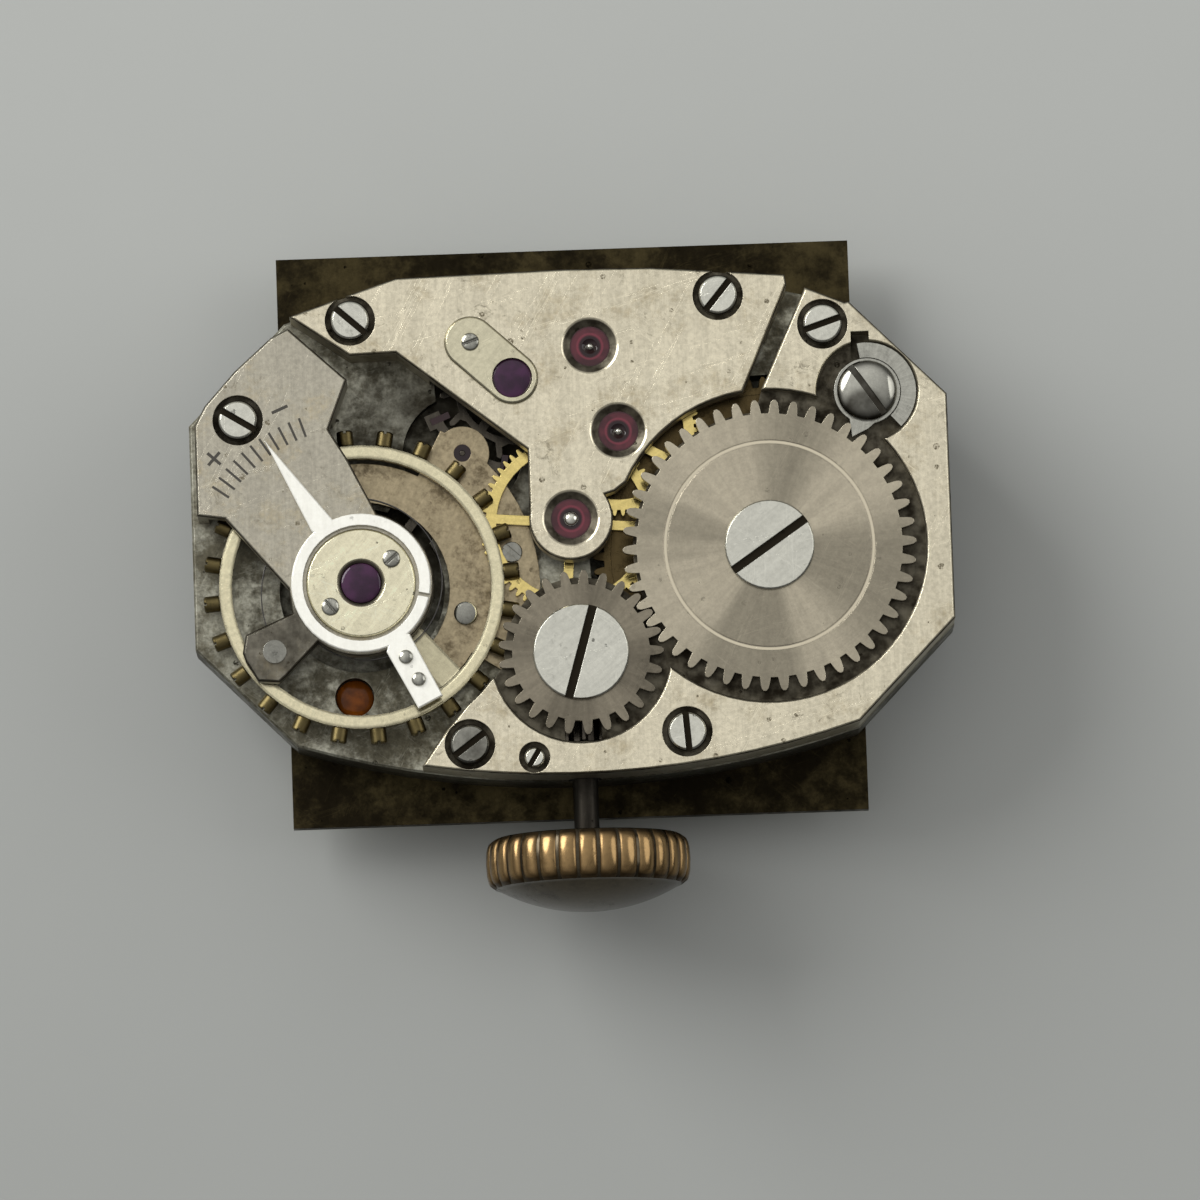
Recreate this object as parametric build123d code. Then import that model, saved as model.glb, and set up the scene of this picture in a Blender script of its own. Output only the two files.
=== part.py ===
from build123d import *
import os
from math import asin, atan2, cos, degrees, hypot, pi, radians, sin

os.makedirs("parts", exist_ok=True)

# A small tonneau watch movement, seen from its back: +Z out of the bridges, crown to -Y.
# The origin is on the axis of the hands, on the front face of the dial. Lengths in millimetres.

# Plate, dial and bridges
plate_length = 17.48
plate_width = 11.84
plate_thickness = 1.50
dial_side = 13.30
dial_thickness = 0.40
dial_hole_radius = 0.98
dial_foot_radius = 0.25
dial_foot_length = 0.60
bridge_thickness = 1.30
bridge_web = 0.58
bridge_bevel = 0.05
cock_web = 0.40
pallet_bridge_thickness = 0.25
steady_pin_radius = 0.17
steady_pin_length = 0.70

# Clearances
turning_gap = 0.02
level_gap = 0.08
pocket_gap = 0.10

# Wheels of the going train
wheel_thickness = 0.12
pinion_overhang = 0.05
barrel_teeth = 72
centre_pinion_leaves = 12
centre_wheel_teeth = 64
third_pinion_leaves = 8
third_wheel_teeth = 60
fourth_pinion_leaves = 8
fourth_wheel_teeth = 70
escape_pinion_leaves = 7
escape_wheel_teeth = 15
escape_wheel_radius = 1.70
stone_angle = 30.0
arbor_radius = 0.10
centre_arbor_radius = 0.16
pivot_radius = 0.06
pivot_length = 0.22

# Barrel
barrel_floor = 0.58
barrel_wall = 0.16
barrel_tooth_band = 0.28
barrel_hub_radius = 0.95
barrel_arbor_pivot = 0.55
mainspring_strip = 0.10
mainspring_turns = 5

# Winding wheels on the bridges
winding_wheel_thickness = 0.24
winding_floor_gap = 0.04
ratchet_teeth = 46
crown_wheel_teeth = 25
winding_pinion_leaves = 14
ratchet_recess_radius = 3.60
crown_wheel_recess_radius = 2.06
ratchet_screw_head = 1.03
crown_wheel_screw_head = 1.10
crown_wheel_seat_radius = 0.62
click_screw_head = 0.69
click_recess_radius = 1.15
click_thickness = 0.22

# Screws and jewels
screw_head_radius = 0.46
screw_head_height = 0.34
screw_shank_radius = 0.26
screw_slot_width = 0.15
wide_slot_width = 0.20
screw_slot_depth = 0.13
screw_countersink = 0.12
cap_screw_head_radius = 0.215
jewel_radius = 0.46
jewel_thickness = 0.20
jewel_sink_radius = 0.66
jewel_sink_depth = 0.12

# Balance, hairspring and regulator
balance_rim_radius = 3.28
balance_rim_width = 0.30
balance_rim_height = 0.30
balance_arm_width = 0.66
balance_arm_thickness = 0.12
balance_angle = -48.0
balance_screw_count = 24
balance_screw_head = 0.15
balance_screw_length = 0.36
balance_staff_radius = 0.17
roller_radius = 0.62
impulse_radius = 0.46
impulse_jewel_radius = 0.07
hairspring_height = 0.11
hairspring_strip = 0.05
hairspring_turns = 4
hairspring_inner_radius = 0.50
collet_radius = 0.42
stud_radius = 0.16
stud_head_radius = 0.27
curb_pin_radius = 0.10
regulator_thickness = 0.18
regulator_ring_outer = 1.60
regulator_ring_width = 0.26
end_piece_radius = 1.26
end_piece_thickness = 0.20
end_piece_hole_bevel = 0.10
cock_ring_radius = 1.66

# Crown, stem and keyless work
stem_square = 0.42
stem_pilot_radius = 0.20
crown_radius = 2.37
crown_gap = 1.30
crown_band = 0.86
crown_dome = 0.86
crown_rib_count = 30
crown_rib_depth = 0.07
crown_pull = 0.40
winding_pinion_radius = 1.02
winding_pinion_length = 0.66
winding_pinion_bore = 0.36
sliding_pinion_radius = 0.72
sliding_pinion_length = 0.50
sliding_pull = 0.38
lever_thickness = 0.20
lever_width = 0.42
lever_disc_radius = 0.28

# Motion work behind the dial
cannon_leaves = 12
minute_wheel_teeth = 36
minute_pinion_leaves = 10
hour_wheel_teeth = 40
setting_wheel_teeth = 14
motion_distance = 2.24
motion_angle = 225.0
cannon_body_radius = 0.49
minute_seat_radius = 0.33
hour_seat_radius = 0.66
hour_shoulder_radius = 0.83
hour_seat_length = 0.45
minute_seat_length = 0.50
hour_shoulder_stand = 0.10
cannon_reach = 1.15

# Levels above the front face of the dial
plate_low = dial_thickness
split = plate_low + plate_thickness
bridge_top = split + bridge_thickness
bridge_under = bridge_top - bridge_web
cock_under = bridge_top - cock_web
third_wheel_low = bridge_under - level_gap - wheel_thickness
centre_wheel_low = third_wheel_low - level_gap - wheel_thickness
fourth_wheel_low = centre_wheel_low - pinion_overhang - level_gap - wheel_thickness
escape_wheel_low = fourth_wheel_low - pinion_overhang - level_gap - wheel_thickness
barrel_high = centre_wheel_low - level_gap
barrel_low = plate_low + barrel_floor + level_gap
winding_low = bridge_top - winding_wheel_thickness
winding_floor = winding_low - winding_floor_gap
train_floor_depth = 0.40
train_floor = split - train_floor_depth
lower_jewel_high = train_floor - level_gap
motion_depth = 0.60
motion_high = plate_low + motion_depth
balance_rim_gap = 0.15
balance_rim_low = cock_under - balance_rim_gap - balance_rim_height
balance_arm_low = balance_rim_low + balance_rim_height / 6
hairspring_low = balance_arm_low + balance_arm_thickness + level_gap

# Places, as shares of half the plate's length and width
centre_share = (0.0, 0.0)
third_share = (0.132, 0.336)
fourth_share = (0.065, 0.672)
escape_share = (-0.142, 0.554)
barrel_share = (0.518, -0.132)
crown_wheel_share = (0.014, -0.524)
click_share = (0.789, 0.458)
balance_share = (-0.556, -0.228)
stud_share = (-0.788, -0.482)
escape_cap_screw_share = (-0.249, 0.700)
bridge_screw_shares = [(-0.563, 0.802), (0.406, 0.853), (0.678, 0.726), (0.285, -0.846), (-0.285, -0.867)]
bridge_screw_slot_angles = [-42.0, 50.0, 18.0, -86.0, 36.0]
cock_screw_share = (-0.866, 0.427)
cock_screw_slot_angle = -32.0
setting_lever_share = (-0.117, -0.926)
yoke_share = (-0.217, -0.664)
lever_spring_screw_share = (-0.340, -0.745)
dial_foot_shares = [(-0.389, 0.861), (0.186, -0.905)]
steady_pin_shares = [(-0.430, 0.850), (0.520, 0.800), (0.880, 0.530), (0.420, -0.860), (-0.800, 0.620)]
plate_hole_share = (-0.585, -0.645)
curb_pin_shares = [(-0.445, -0.523), (-0.413, -0.611)]
overrun = 1.0


def at(share):
    """The place in the plane of the plate that a share of its half sizes gives."""
    return (share[0] * plate_length / 2, share[1] * plate_width / 2)


def apart(first, second):
    return hypot(second[0] - first[0], second[1] - first[1])


def heading(first, second):
    return atan2(second[1] - first[1], second[0] - first[0])


def onward(place, angle, reach):
    """The place that lies a reach away from a place, at an angle in radians."""
    return (place[0] + reach * cos(angle), place[1] + reach * sin(angle))


centre = at(centre_share)
third = at(third_share)
fourth = at(fourth_share)
escape = at(escape_share)
barrel = at(barrel_share)
crown_wheel_place = at(crown_wheel_share)
click_place = at(click_share)
balance = at(balance_share)
stem_x = crown_wheel_place[0]
pallet_reach = escape_wheel_radius / cos(radians(stone_angle))
pallet = onward(escape, heading(escape, balance), pallet_reach)


# Basic solids
standing = (Align.CENTER, Align.CENTER, Align.MIN)


def disc(place, radius, low, high):
    """An upright round solid between two levels."""
    height = high - low
    return Pos(place[0], place[1], low) * Cylinder(radius, height, align=standing)


def bevelled(shape, length=bridge_bevel):
    """The same solid with a bevel round its upper face."""
    return chamfer(shape.edges().group_by(Axis.Z)[-1], length=length)


def ring(place, inner, outer, low, high):
    return disc(place, outer, low, high) - disc(place, inner, low - overrun, high + overrun)


def prism(points, low, high):
    """An upright solid on a closed outline of straight runs."""
    outline = Wire.make_polygon([(x, y, low) for x, y in points], close=True)
    return extrude(Face(outline), amount=high - low, dir=(0, 0, 1))


def bar(first, second, width, low, high):
    """A straight flat bar from one place to another, square at its ends."""
    middle = ((first[0] + second[0]) / 2, (first[1] + second[1]) / 2)
    turn = degrees(heading(first, second))
    shape = Box(apart(first, second), width, high - low, align=standing)
    return Pos(middle[0], middle[1], low) * Rot(0, 0, turn) * shape


def wedge(place, start, end, radius, low, high):
    """A slice of the space round a place between two angles in degrees, wider than a radius."""
    corners = [place]
    steps = 4
    for step in range(steps + 1):
        angle = radians(start + (end - start) * step / steps)
        corners.append(onward(place, angle, 3 * radius))
    return prism(corners, low, high)


def along_stem(shape):
    """Turn a solid that is built up its own axis so that it runs out along the stem."""
    return Pos(stem_x, 0, split) * Rot(90, 0, 0) * shape


def stem_disc(radius, near, far):
    """A round solid on the stem's axis, from one distance outward to another."""
    upright = Cylinder(radius, far - near, align=standing)
    return along_stem(Pos(0, 0, near) * upright)


def tonneau(inset, low, high):
    """The barrel-shaped outline of the plate, drawn in by an inset."""
    end = plate_length / 2 - inset
    side = plate_width / 2 - inset
    corner_shares = (0.74, 0.83)
    end_share = 0.44
    corner = (end * corner_shares[0], side * corner_shares[1])
    flat = side * end_share
    edges = [
        Line((end, -flat), (end, flat)),
        Line((end, flat), (corner[0], corner[1])),
        ThreePointArc((corner[0], corner[1]), (0, side), (-corner[0], corner[1])),
        Line((-corner[0], corner[1]), (-end, flat)),
        Line((-end, flat), (-end, -flat)),
        Line((-end, -flat), (-corner[0], -corner[1])),
        ThreePointArc((-corner[0], -corner[1]), (0, -side), (corner[0], -corner[1])),
        Line((corner[0], -corner[1]), (end, -flat)),
    ]
    return Pos(0, 0, low) * extrude(make_face(edges), amount=high - low, dir=(0, 0, 1))


# Teeth: each pair is a share of the pitch, and of the tooth's height above or below the pitch circle
tooth_shares = [(-0.30, -1.0), (-0.225, 0.0), (-0.17, 0.6), (-0.07, 1.0), (0.07, 1.0), (0.17, 0.6),
                (0.225, 0.0), (0.30, -1.0)]
tip_height_share = 1.0
root_depth_share = 1.25


def tooth_height(pitch_radius, teeth):
    return tip_height_share * 2 * pitch_radius / teeth


def tooth_outline(place, pitch_radius, teeth, phase):
    """Points round a toothed wheel, with one tooth centred at the phase angle."""
    points = []
    height = tooth_height(pitch_radius, teeth)
    for tooth in range(teeth):
        for side, rise in tooth_shares:
            angle = phase + (tooth + side) * 2 * pi / teeth
            rise_here = rise * height * (root_depth_share if rise < 0 else 1.0)
            points.append(onward(place, angle, pitch_radius + rise_here))
    return points


def toothed(place, pitch_radius, teeth, phase, low, high):
    return prism(tooth_outline(place, pitch_radius, teeth, phase), low, high)


def spoked(place, pitch_radius, teeth, phase, low, high, hub, rim, arms, arm_width):
    """A toothed wheel with a hub, a rim and straight arms."""
    blank = toothed(place, pitch_radius, teeth, phase, low, high)
    root = pitch_radius - root_depth_share * tooth_height(pitch_radius, teeth)
    blank -= ring(place, hub, root - rim, low - overrun, high + overrun)
    for arm in range(arms):
        angle = phase + arm * 2 * pi / arms
        inner = onward(place, angle, hub / 2)
        outer = onward(place, angle, root - rim / 2)
        blank += bar(inner, outer, arm_width, low, high)
    return blank


def meshing_phase(place, teeth, phase, next_place, next_teeth):
    """The phase that puts a gap of the next wheel where this wheel has a tooth."""
    angle = heading(place, next_place)
    offset = ((angle - phase) * teeth / (2 * pi)) % 1.0
    return angle + pi - (0.5 - offset) * 2 * pi / next_teeth


def pitch_radii(first, second, first_teeth, second_teeth):
    """The two pitch radii that a pair of meshing wheels has at its distance."""
    distance = apart(first, second)
    total = first_teeth + second_teeth
    return distance * first_teeth / total, distance * second_teeth / total


def screw(place, head_radius, head_low, head_high, shank_radius, shank_low, slot_angle,
          slot_width=screw_slot_width):
    """A cheese-headed screw with a bevelled rim and a slot."""
    head = disc(place, head_radius, head_low, head_high)
    bevel = (head_high - head_low) / 5
    head = chamfer(head.edges().group_by(Axis.Z)[-1], length=bevel)
    slot = Pos(place[0], place[1], head_high) * Rot(0, 0, slot_angle)
    slot_width = min(slot_width, head_radius / 2)
    slot_depth = min(screw_slot_depth, (head_high - head_low) / 2)
    head -= slot * Box(3 * head_radius, slot_width, 2 * slot_depth)
    return head + disc(place, shank_radius, shank_low, head_low)


oil_cup_share = 0.6


def jewel(place, radius, bore, low, high):
    """A bearing jewel with an oil cup round its hole."""
    stone = ring(place, bore, radius, low, high)
    cup_radius = oil_cup_share * radius
    cup = Pos(place[0], place[1], high) * Sphere(cup_radius)
    sink = cup_radius - (high - low) / 3
    return stone - Pos(0, 0, sink) * cup


# Wheel radii that follow from the places
barrel_radius, centre_pinion_radius = pitch_radii(barrel, centre, barrel_teeth, centre_pinion_leaves)
centre_wheel_radius, third_pinion_radius = pitch_radii(
    centre, third, centre_wheel_teeth, third_pinion_leaves)
third_wheel_radius, fourth_pinion_radius = pitch_radii(
    third, fourth, third_wheel_teeth, fourth_pinion_leaves)
fourth_wheel_radius, escape_pinion_radius = pitch_radii(
    fourth, escape, fourth_wheel_teeth, escape_pinion_leaves)
ratchet_radius, crown_wheel_radius = pitch_radii(
    barrel, crown_wheel_place, ratchet_teeth, crown_wheel_teeth)
barrel_tip = barrel_radius + tooth_height(barrel_radius, barrel_teeth)
barrel_pocket = barrel_tip + level_gap
ratchet_tip = ratchet_radius + tooth_height(ratchet_radius, ratchet_teeth)

# Motion work behind the dial
motion_total = cannon_leaves + minute_wheel_teeth
hour_total = minute_pinion_leaves + hour_wheel_teeth
cannon_radius = motion_distance * cannon_leaves / motion_total
minute_wheel_radius = motion_distance * minute_wheel_teeth / motion_total
minute_pinion_radius = motion_distance * minute_pinion_leaves / hour_total
hour_wheel_radius = motion_distance * hour_wheel_teeth / hour_total
minute_place = onward(centre, radians(motion_angle), motion_distance)
setting_wheel_radius = minute_wheel_radius * setting_wheel_teeth / minute_wheel_teeth
setting_distance = minute_wheel_radius + setting_wheel_radius
setting_angle = asin((stem_x - minute_place[0]) / setting_distance)
setting_place = onward(minute_place, setting_angle - pi / 2, setting_distance)
hour_wheel_low = plate_low + level_gap
minute_wheel_low = hour_wheel_low + 2 * wheel_thickness + level_gap
motion_tip = tooth_height(minute_wheel_radius, minute_wheel_teeth)
hour_tip = tooth_height(hour_wheel_radius, hour_wheel_teeth)

# Distances outward along the stem
plate_edge = plate_width / 2
groove_width = 0.24
pinion_play = 0.04
setting_lever_place = at(setting_lever_share)
yoke_place = at(yoke_share)
groove_middle = -setting_lever_place[1] - crown_pull / 2
groove_near = groove_middle - groove_width / 2
groove_far = groove_middle + groove_width / 2
winding_near = groove_near - 2 * pinion_play - winding_pinion_length
winding_far = winding_near + winding_pinion_length
sliding_far = winding_near + pinion_play
sliding_near = sliding_far - sliding_pinion_length
sliding_cavity_near = sliding_near - sliding_pull - pinion_play
square_length = 1.36
square_near = winding_near - square_length
pilot_length = 0.60
pilot_near = square_near - pilot_length
stem_bearing_radius = 0.36
stem_neck_radius = 0.29
groove_radius = 0.24
square_corner = stem_square / 2 * 2 ** 0.5
sliding_groove_radius = 0.50
crown_near = plate_edge + crown_gap
crown_seat_depth = 0.70


def stem_cuts():
    """Room in the plate and the bridge for everything on the stem's axis."""
    cuts = stem_disc(stem_bearing_radius + turning_gap, winding_far, plate_edge + overrun)
    cuts += stem_disc(winding_pinion_radius + level_gap, sliding_far - pinion_play,
                      winding_far + pinion_play)
    cuts += stem_disc(sliding_pinion_radius + level_gap, sliding_cavity_near, sliding_far)
    cuts += stem_disc(square_corner + 2 * turning_gap, square_near - pinion_play, sliding_cavity_near)
    cuts += stem_disc(stem_pilot_radius + turning_gap, pilot_near - crown_pull, square_near)
    return cuts


def lever_recess(low, high):
    """Room behind the dial for the levers that shift the sliding pinion."""
    margin = lever_width
    left = yoke_place[0] - 4 * margin
    right = stem_x + margin
    outer = setting_lever_place[1] - lever_disc_radius - level_gap
    inner = yoke_place[1] + margin
    points = [(left, inner - margin), (yoke_place[0], inner), (right, inner), (right, outer),
              (setting_lever_place[0] - margin, outer), (left, outer + 2 * margin)]
    return prism(points, low, high)


def small_hole(place, radius, low, high):
    return disc(place, radius + turning_gap / 2, low, high)


def main_plate():
    body = bevelled(tonneau(0, plate_low, split))
    above = split + overrun
    below = plate_low - overrun
    # Train side
    body -= disc(barrel, barrel_pocket, plate_low + barrel_floor, above)
    body -= disc(barrel, barrel_arbor_pivot + turning_gap, plate_low + barrel_floor / 3, above)
    centre_pinion_tip = centre_pinion_radius + tooth_height(centre_pinion_radius, centre_pinion_leaves)
    body -= disc(centre, centre_pinion_tip + pocket_gap, train_floor, above)
    body -= disc(escape, escape_wheel_radius + pocket_gap, train_floor, above)
    body -= disc(balance, balance_pocket_radius, train_floor, above)
    fork_room = 2 * fork_swing
    body -= disc(pallet, pallet_arm_reach, train_floor, above)
    body -= bar(pallet, balance, fork_room, train_floor, above)
    body -= small_hole(at(plate_hole_share), plate_hole_radius, train_floor, above)
    for place, radius in lower_jewel_places():
        body -= disc(place, radius, lower_jewel_high - jewel_thickness, above)
    # Dial side
    body -= disc(centre, hour_wheel_radius + hour_tip + pocket_gap, below, minute_wheel_low - level_gap)
    cannon_tip = cannon_radius + tooth_height(cannon_radius, cannon_leaves)
    body -= disc(centre, cannon_tip + pocket_gap, below, motion_high)
    body -= disc(centre, centre_arbor_radius + turning_gap, below, above)
    body -= disc(minute_place, minute_wheel_radius + motion_tip + pocket_gap, below, motion_high)
    setting_high = motion_high + setting_wheel_rise
    body -= disc(setting_place, setting_wheel_radius + motion_tip + pocket_gap, below, setting_high)
    body -= lever_recess(below, motion_high)
    body += disc(minute_place, minute_post_radius, plate_low, motion_high)
    body += disc(setting_place, setting_post_radius, minute_wheel_low - level_gap, setting_high)
    # Stem, its levers' windows and the fixings
    body -= stem_cuts()
    window = lever_width
    nose_near = groove_near - pinion_play
    nose_far = groove_far + crown_pull + pinion_play
    body -= bar((stem_x, -nose_near), (stem_x, -nose_far), window, below, split)
    fork_near = sliding_cavity_near
    body -= bar((stem_x, -fork_near), (stem_x, -sliding_far), window, below, split)
    for share in bridge_screw_shares + [cock_screw_share]:
        body -= small_hole(at(share), screw_shank_radius, screw_low, above)
    body -= small_hole(setting_lever_place, lever_pivot_radius, below, above)
    body -= small_hole(yoke_place, lever_pivot_radius, below, yoke_screw_high)
    body -= small_hole(at(lever_spring_screw_share), lever_pivot_radius, below, yoke_screw_high)
    for share in dial_foot_shares:
        body -= small_hole(at(share), dial_foot_radius, below, plate_low + dial_foot_length)
    for share in steady_pin_shares:
        body -= disc(at(share), steady_pin_radius, split - steady_pin_length / 2, above)
    for place in pallet_screw_places():
        body -= small_hole(place, small_shank_radius, train_floor, above)
    return body


balance_pocket_radius = 1.90
pallet_arm_reach = 1.38
fork_swing = 0.60
plate_hole_radius = 0.44
lower_train_jewel_radius = 0.20
setting_wheel_rise = 0.16
minute_post_radius = 0.16
setting_post_radius = 0.20
lever_pivot_radius = 0.14
small_shank_radius = 0.13
small_head_radius = 0.24
screw_low = plate_low + plate_thickness / 2
yoke_screw_high = motion_high + plate_thickness / 4


def lower_jewel_places():
    """Places and outer radii of the bearings set in the plate."""
    small = lower_train_jewel_radius
    return [(third, small), (fourth, small), (escape, small), (pallet, small), (balance, small)]


pallet_screw_angles = (-15.2, 12.0)
pallet_screw_reaches = (2.45, 3.55)


def pallet_screw_places():
    pairs = zip(pallet_screw_angles, pallet_screw_reaches)
    return [onward(balance, radians(angle), reach) for angle, reach in pairs]


def screw_seats(shares, head_radius, low):
    """Countersinks, head seats and shank holes for the screws at these places."""
    cuts = []
    above = bridge_top + overrun
    for share in shares:
        place = at(share)
        cuts.append(disc(place, head_radius + screw_countersink, bridge_top - screw_seat_depth, above))
        cuts.append(small_hole(place, screw_shank_radius, low, above))
    return cuts


screw_seat_depth = 0.24
jewel_high = bridge_top - jewel_sink_depth


def jewel_seats(places, low, radius):
    """Dished sinks and holes for the jewels at these places."""
    cuts = []
    for place in places:
        sink = Pos(place[0], place[1], jewel_high) * Cone(radius, jewel_sink_radius, jewel_sink_depth,
                                                          align=standing)
        cuts.append(sink)
        cuts.append(disc(place, radius, low, bridge_top))
    return cuts


def recess(place, radius, floor):
    """A round recess with a bevelled lip, open at the top of a bridge."""
    lip = Pos(place[0], place[1], bridge_top - bridge_bevel) * Cone(
        radius, radius + bridge_bevel, bridge_bevel, align=standing)
    return [disc(place, radius, floor, bridge_top), lip]


train_bridge_shares = [(-0.722, 0.826), (-0.560, 0.905), (-0.439, 0.962), (0.0, 0.975), (0.230, 0.970),
                       (0.583, 0.925), (0.587, 0.887), (0.460, 0.464), (0.300, 0.300), (0.117, 0.100),
                       (-0.108, 0.0), (-0.108, 0.275), (-0.446, 0.671), (-0.567, 0.666)]
centre_arm_radius = 0.96
train_room_share = (-0.36, -0.3)


def train_bridge():
    """The bridge of the centre, third, fourth and escape wheels, open beneath between its two feet."""
    plan = bevelled(prism([at(share) for share in train_bridge_shares], split, bridge_top))
    plan += bevelled(disc(centre, centre_arm_radius, bridge_under, bridge_top))
    plan -= recess(barrel, ratchet_recess_radius, split - overrun)
    fourth_tip = fourth_wheel_radius + tooth_height(fourth_wheel_radius, fourth_wheel_teeth)
    left, bottom = at(train_room_share)
    right = fourth[0] + fourth_tip + pocket_gap
    foot_line = fourth[1] + pocket_gap
    top = plate_width / 2 + overrun
    room = [(left, bottom), (left, top), (right, top), (right, foot_line), (plate_length / 2, foot_line),
            (plate_length / 2, bottom)]
    plan -= prism(room, split - overrun, bridge_under)
    shares = bridge_screw_shares[:2]
    plan -= screw_seats(shares, screw_head_radius, split - overrun)
    plan -= jewel_seats([centre, third, fourth], bridge_under - overrun, jewel_radius)
    plan -= disc(escape, jewel_radius, bridge_under - overrun, bridge_top + overrun)
    plan -= small_hole(at(escape_cap_screw_share), cap_shank_radius, bridge_under, bridge_top + overrun)
    for share in steady_pin_shares[:2]:
        plan -= disc(at(share), steady_pin_radius, split - overrun, split + steady_pin_length / 2)
    return plan


cap_shank_radius = 0.12
barrel_bridge_shares = [(0.512, 0.481), (0.635, 0.872), (0.738, 0.809), (1.1, 0.9), (1.1, -1.1),
                        (-0.2, -1.1), (-0.419, -1.05), (-0.419, -0.962), (-0.355, -0.828),
                        (-0.232, -0.6125), (0.0, -0.36), (0.2, -0.45), (0.40, -0.10)]
crown_wheel_bed_share = 0.93
barrel_bed_share = 0.93
click_slot_share = (0.775, 0.640)
click_slot_size = (0.42, 0.62)


def barrel_bridge():
    """The bridge over the barrel, with beds for the winding wheels and the click."""
    above = bridge_top + overrun
    plan = bevelled(prism([at(share) for share in barrel_bridge_shares], split, bridge_top))
    plan &= bevelled(tonneau(turning_gap, split, bridge_top))
    plan -= disc(balance, balance_reach + pocket_gap, split - overrun, above)
    plan += disc(barrel, barrel_bed_share * ratchet_tip, split, winding_floor)
    crown_wheel_tip = crown_wheel_radius + tooth_height(crown_wheel_radius, crown_wheel_teeth)
    plan += disc(crown_wheel_place, crown_wheel_bed_share * crown_wheel_tip, split, winding_floor)
    plan -= recess(barrel, ratchet_recess_radius, winding_floor)
    plan -= recess(crown_wheel_place, crown_wheel_recess_radius, winding_floor)
    plan -= recess(click_place, click_recess_radius, winding_floor)
    slot = at(click_slot_share)
    slot_half = click_slot_size[1] / 2
    plan -= bar((slot[0], slot[1] - slot_half), (slot[0], slot[1] + slot_half), click_slot_size[0],
                bridge_under, above)
    plan -= disc(barrel, barrel_pocket, split - overrun, bridge_under)
    plan -= disc(balance, pallet_bridge_outer + turning_gap, split - overrun,
                 split + pallet_bridge_thickness + level_gap)
    plan -= disc(barrel, barrel_arbor_pivot + turning_gap, split, above)
    centre_tip = centre_wheel_radius + tooth_height(centre_wheel_radius, centre_wheel_teeth)
    plan -= disc(centre, centre_tip + pocket_gap, split - overrun, bridge_under)
    plan -= screw_seats(bridge_screw_shares[2:], screw_head_radius, split - overrun)
    plan -= stem_cuts()
    plan -= disc(crown_wheel_place, crown_wheel_shank_radius, crown_wheel_screw_low, above)
    plan -= small_hole(click_place, screw_shank_radius, split, above)
    plan -= disc(setting_lever_place, small_head_radius + screw_countersink,
                 bridge_top - screw_seat_depth, above)
    plan -= small_hole(setting_lever_place, lever_pivot_radius, split - overrun, above)
    for share in steady_pin_shares[2:4]:
        plan -= disc(at(share), steady_pin_radius, split - overrun, split + steady_pin_length / 2)
    return plan


crown_wheel_shank_radius = 0.24
crown_wheel_screw_low = bridge_top - 0.62

cock_shares = [(-0.727, 0.779), (-0.772, 0.747), (-0.870, 0.620), (-0.952, 0.487), (-0.980, 0.410),
               (-0.980, 0.059), (-0.907, 0.043), (-0.745, -0.240), (-0.740, -0.333), (-0.8626, -0.412),
               (-0.872, -0.482), (-0.8625, -0.521), (-0.833, -0.593), (-0.778, -0.600), (-0.759, -0.577),
               (-0.640, -0.400), (-0.500, -0.228), (-0.495, 0.000), (-0.584, 0.268), (-0.629, 0.380),
               (-0.577, 0.5725)]
balance_reach = balance_rim_radius + balance_screw_length


def balance_cock():
    """The cock that carries the upper bearing of the balance on one foot."""
    above = bridge_top + overrun
    cock = bevelled(prism([at(share) for share in cock_shares], split, bridge_top))
    cock += bevelled(disc(balance, cock_ring_radius, split, bridge_top))
    cock -= disc(balance, balance_reach + 2 * pocket_gap, split - overrun, cock_under)
    cock -= disc(balance, jewel_radius, cock_under - overrun, above)
    cock -= disc(at(cock_screw_share), screw_head_radius + screw_countersink,
                 bridge_top - screw_seat_depth, above)
    cock -= small_hole(at(cock_screw_share), screw_shank_radius, split - overrun, above)
    cock -= disc(at(stud_share), stud_radius, cock_under - overrun, above)
    for place in end_piece_screw_places():
        cock -= small_hole(place, cap_shank_radius, cock_under, above)
    pin_high = split + steady_pin_length / 2
    cock -= disc(at(steady_pin_shares[4]), steady_pin_radius, split - overrun, pin_high)
    return cock


end_piece_screw_reach = 0.89
end_piece_screw_angle = 36.5


def end_piece_screw_places():
    angles = (end_piece_screw_angle, end_piece_screw_angle + 180)
    return [onward(balance, radians(angle), end_piece_screw_reach) for angle in angles]


pallet_bridge_inner = 2.02
pallet_bridge_outer = 4.10
pallet_bridge_start = -32.0
pallet_bridge_end = 62.0
pallet_bridge_horn_radius = 2.92
pallet_bridge_horn_start = -48.0
pallet_bridge_horn_end = 108.0
pallet_boss_radius = 0.62


def pallet_bridge():
    """A crescent on the plate round the balance, with a boss over the pallet staff."""
    low = split
    high = split + pallet_bridge_thickness
    wide = ring(balance, pallet_bridge_inner, pallet_bridge_outer, low, high)
    wide &= wedge(balance, pallet_bridge_start, pallet_bridge_end, pallet_bridge_outer, low, high)
    crescent = ring(balance, pallet_bridge_inner, pallet_bridge_horn_radius, low, high)
    crescent &= wedge(balance, pallet_bridge_horn_start, pallet_bridge_horn_end,
                      pallet_bridge_horn_radius, low, high)
    crescent += wide
    crescent += disc(pallet, pallet_boss_radius, low, high)
    crescent -= disc(pallet, lower_train_jewel_radius, low - overrun, high + overrun)
    for place in pallet_screw_places():
        crescent -= small_hole(place, small_shank_radius, low - overrun, high + overrun)
    return crescent


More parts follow.
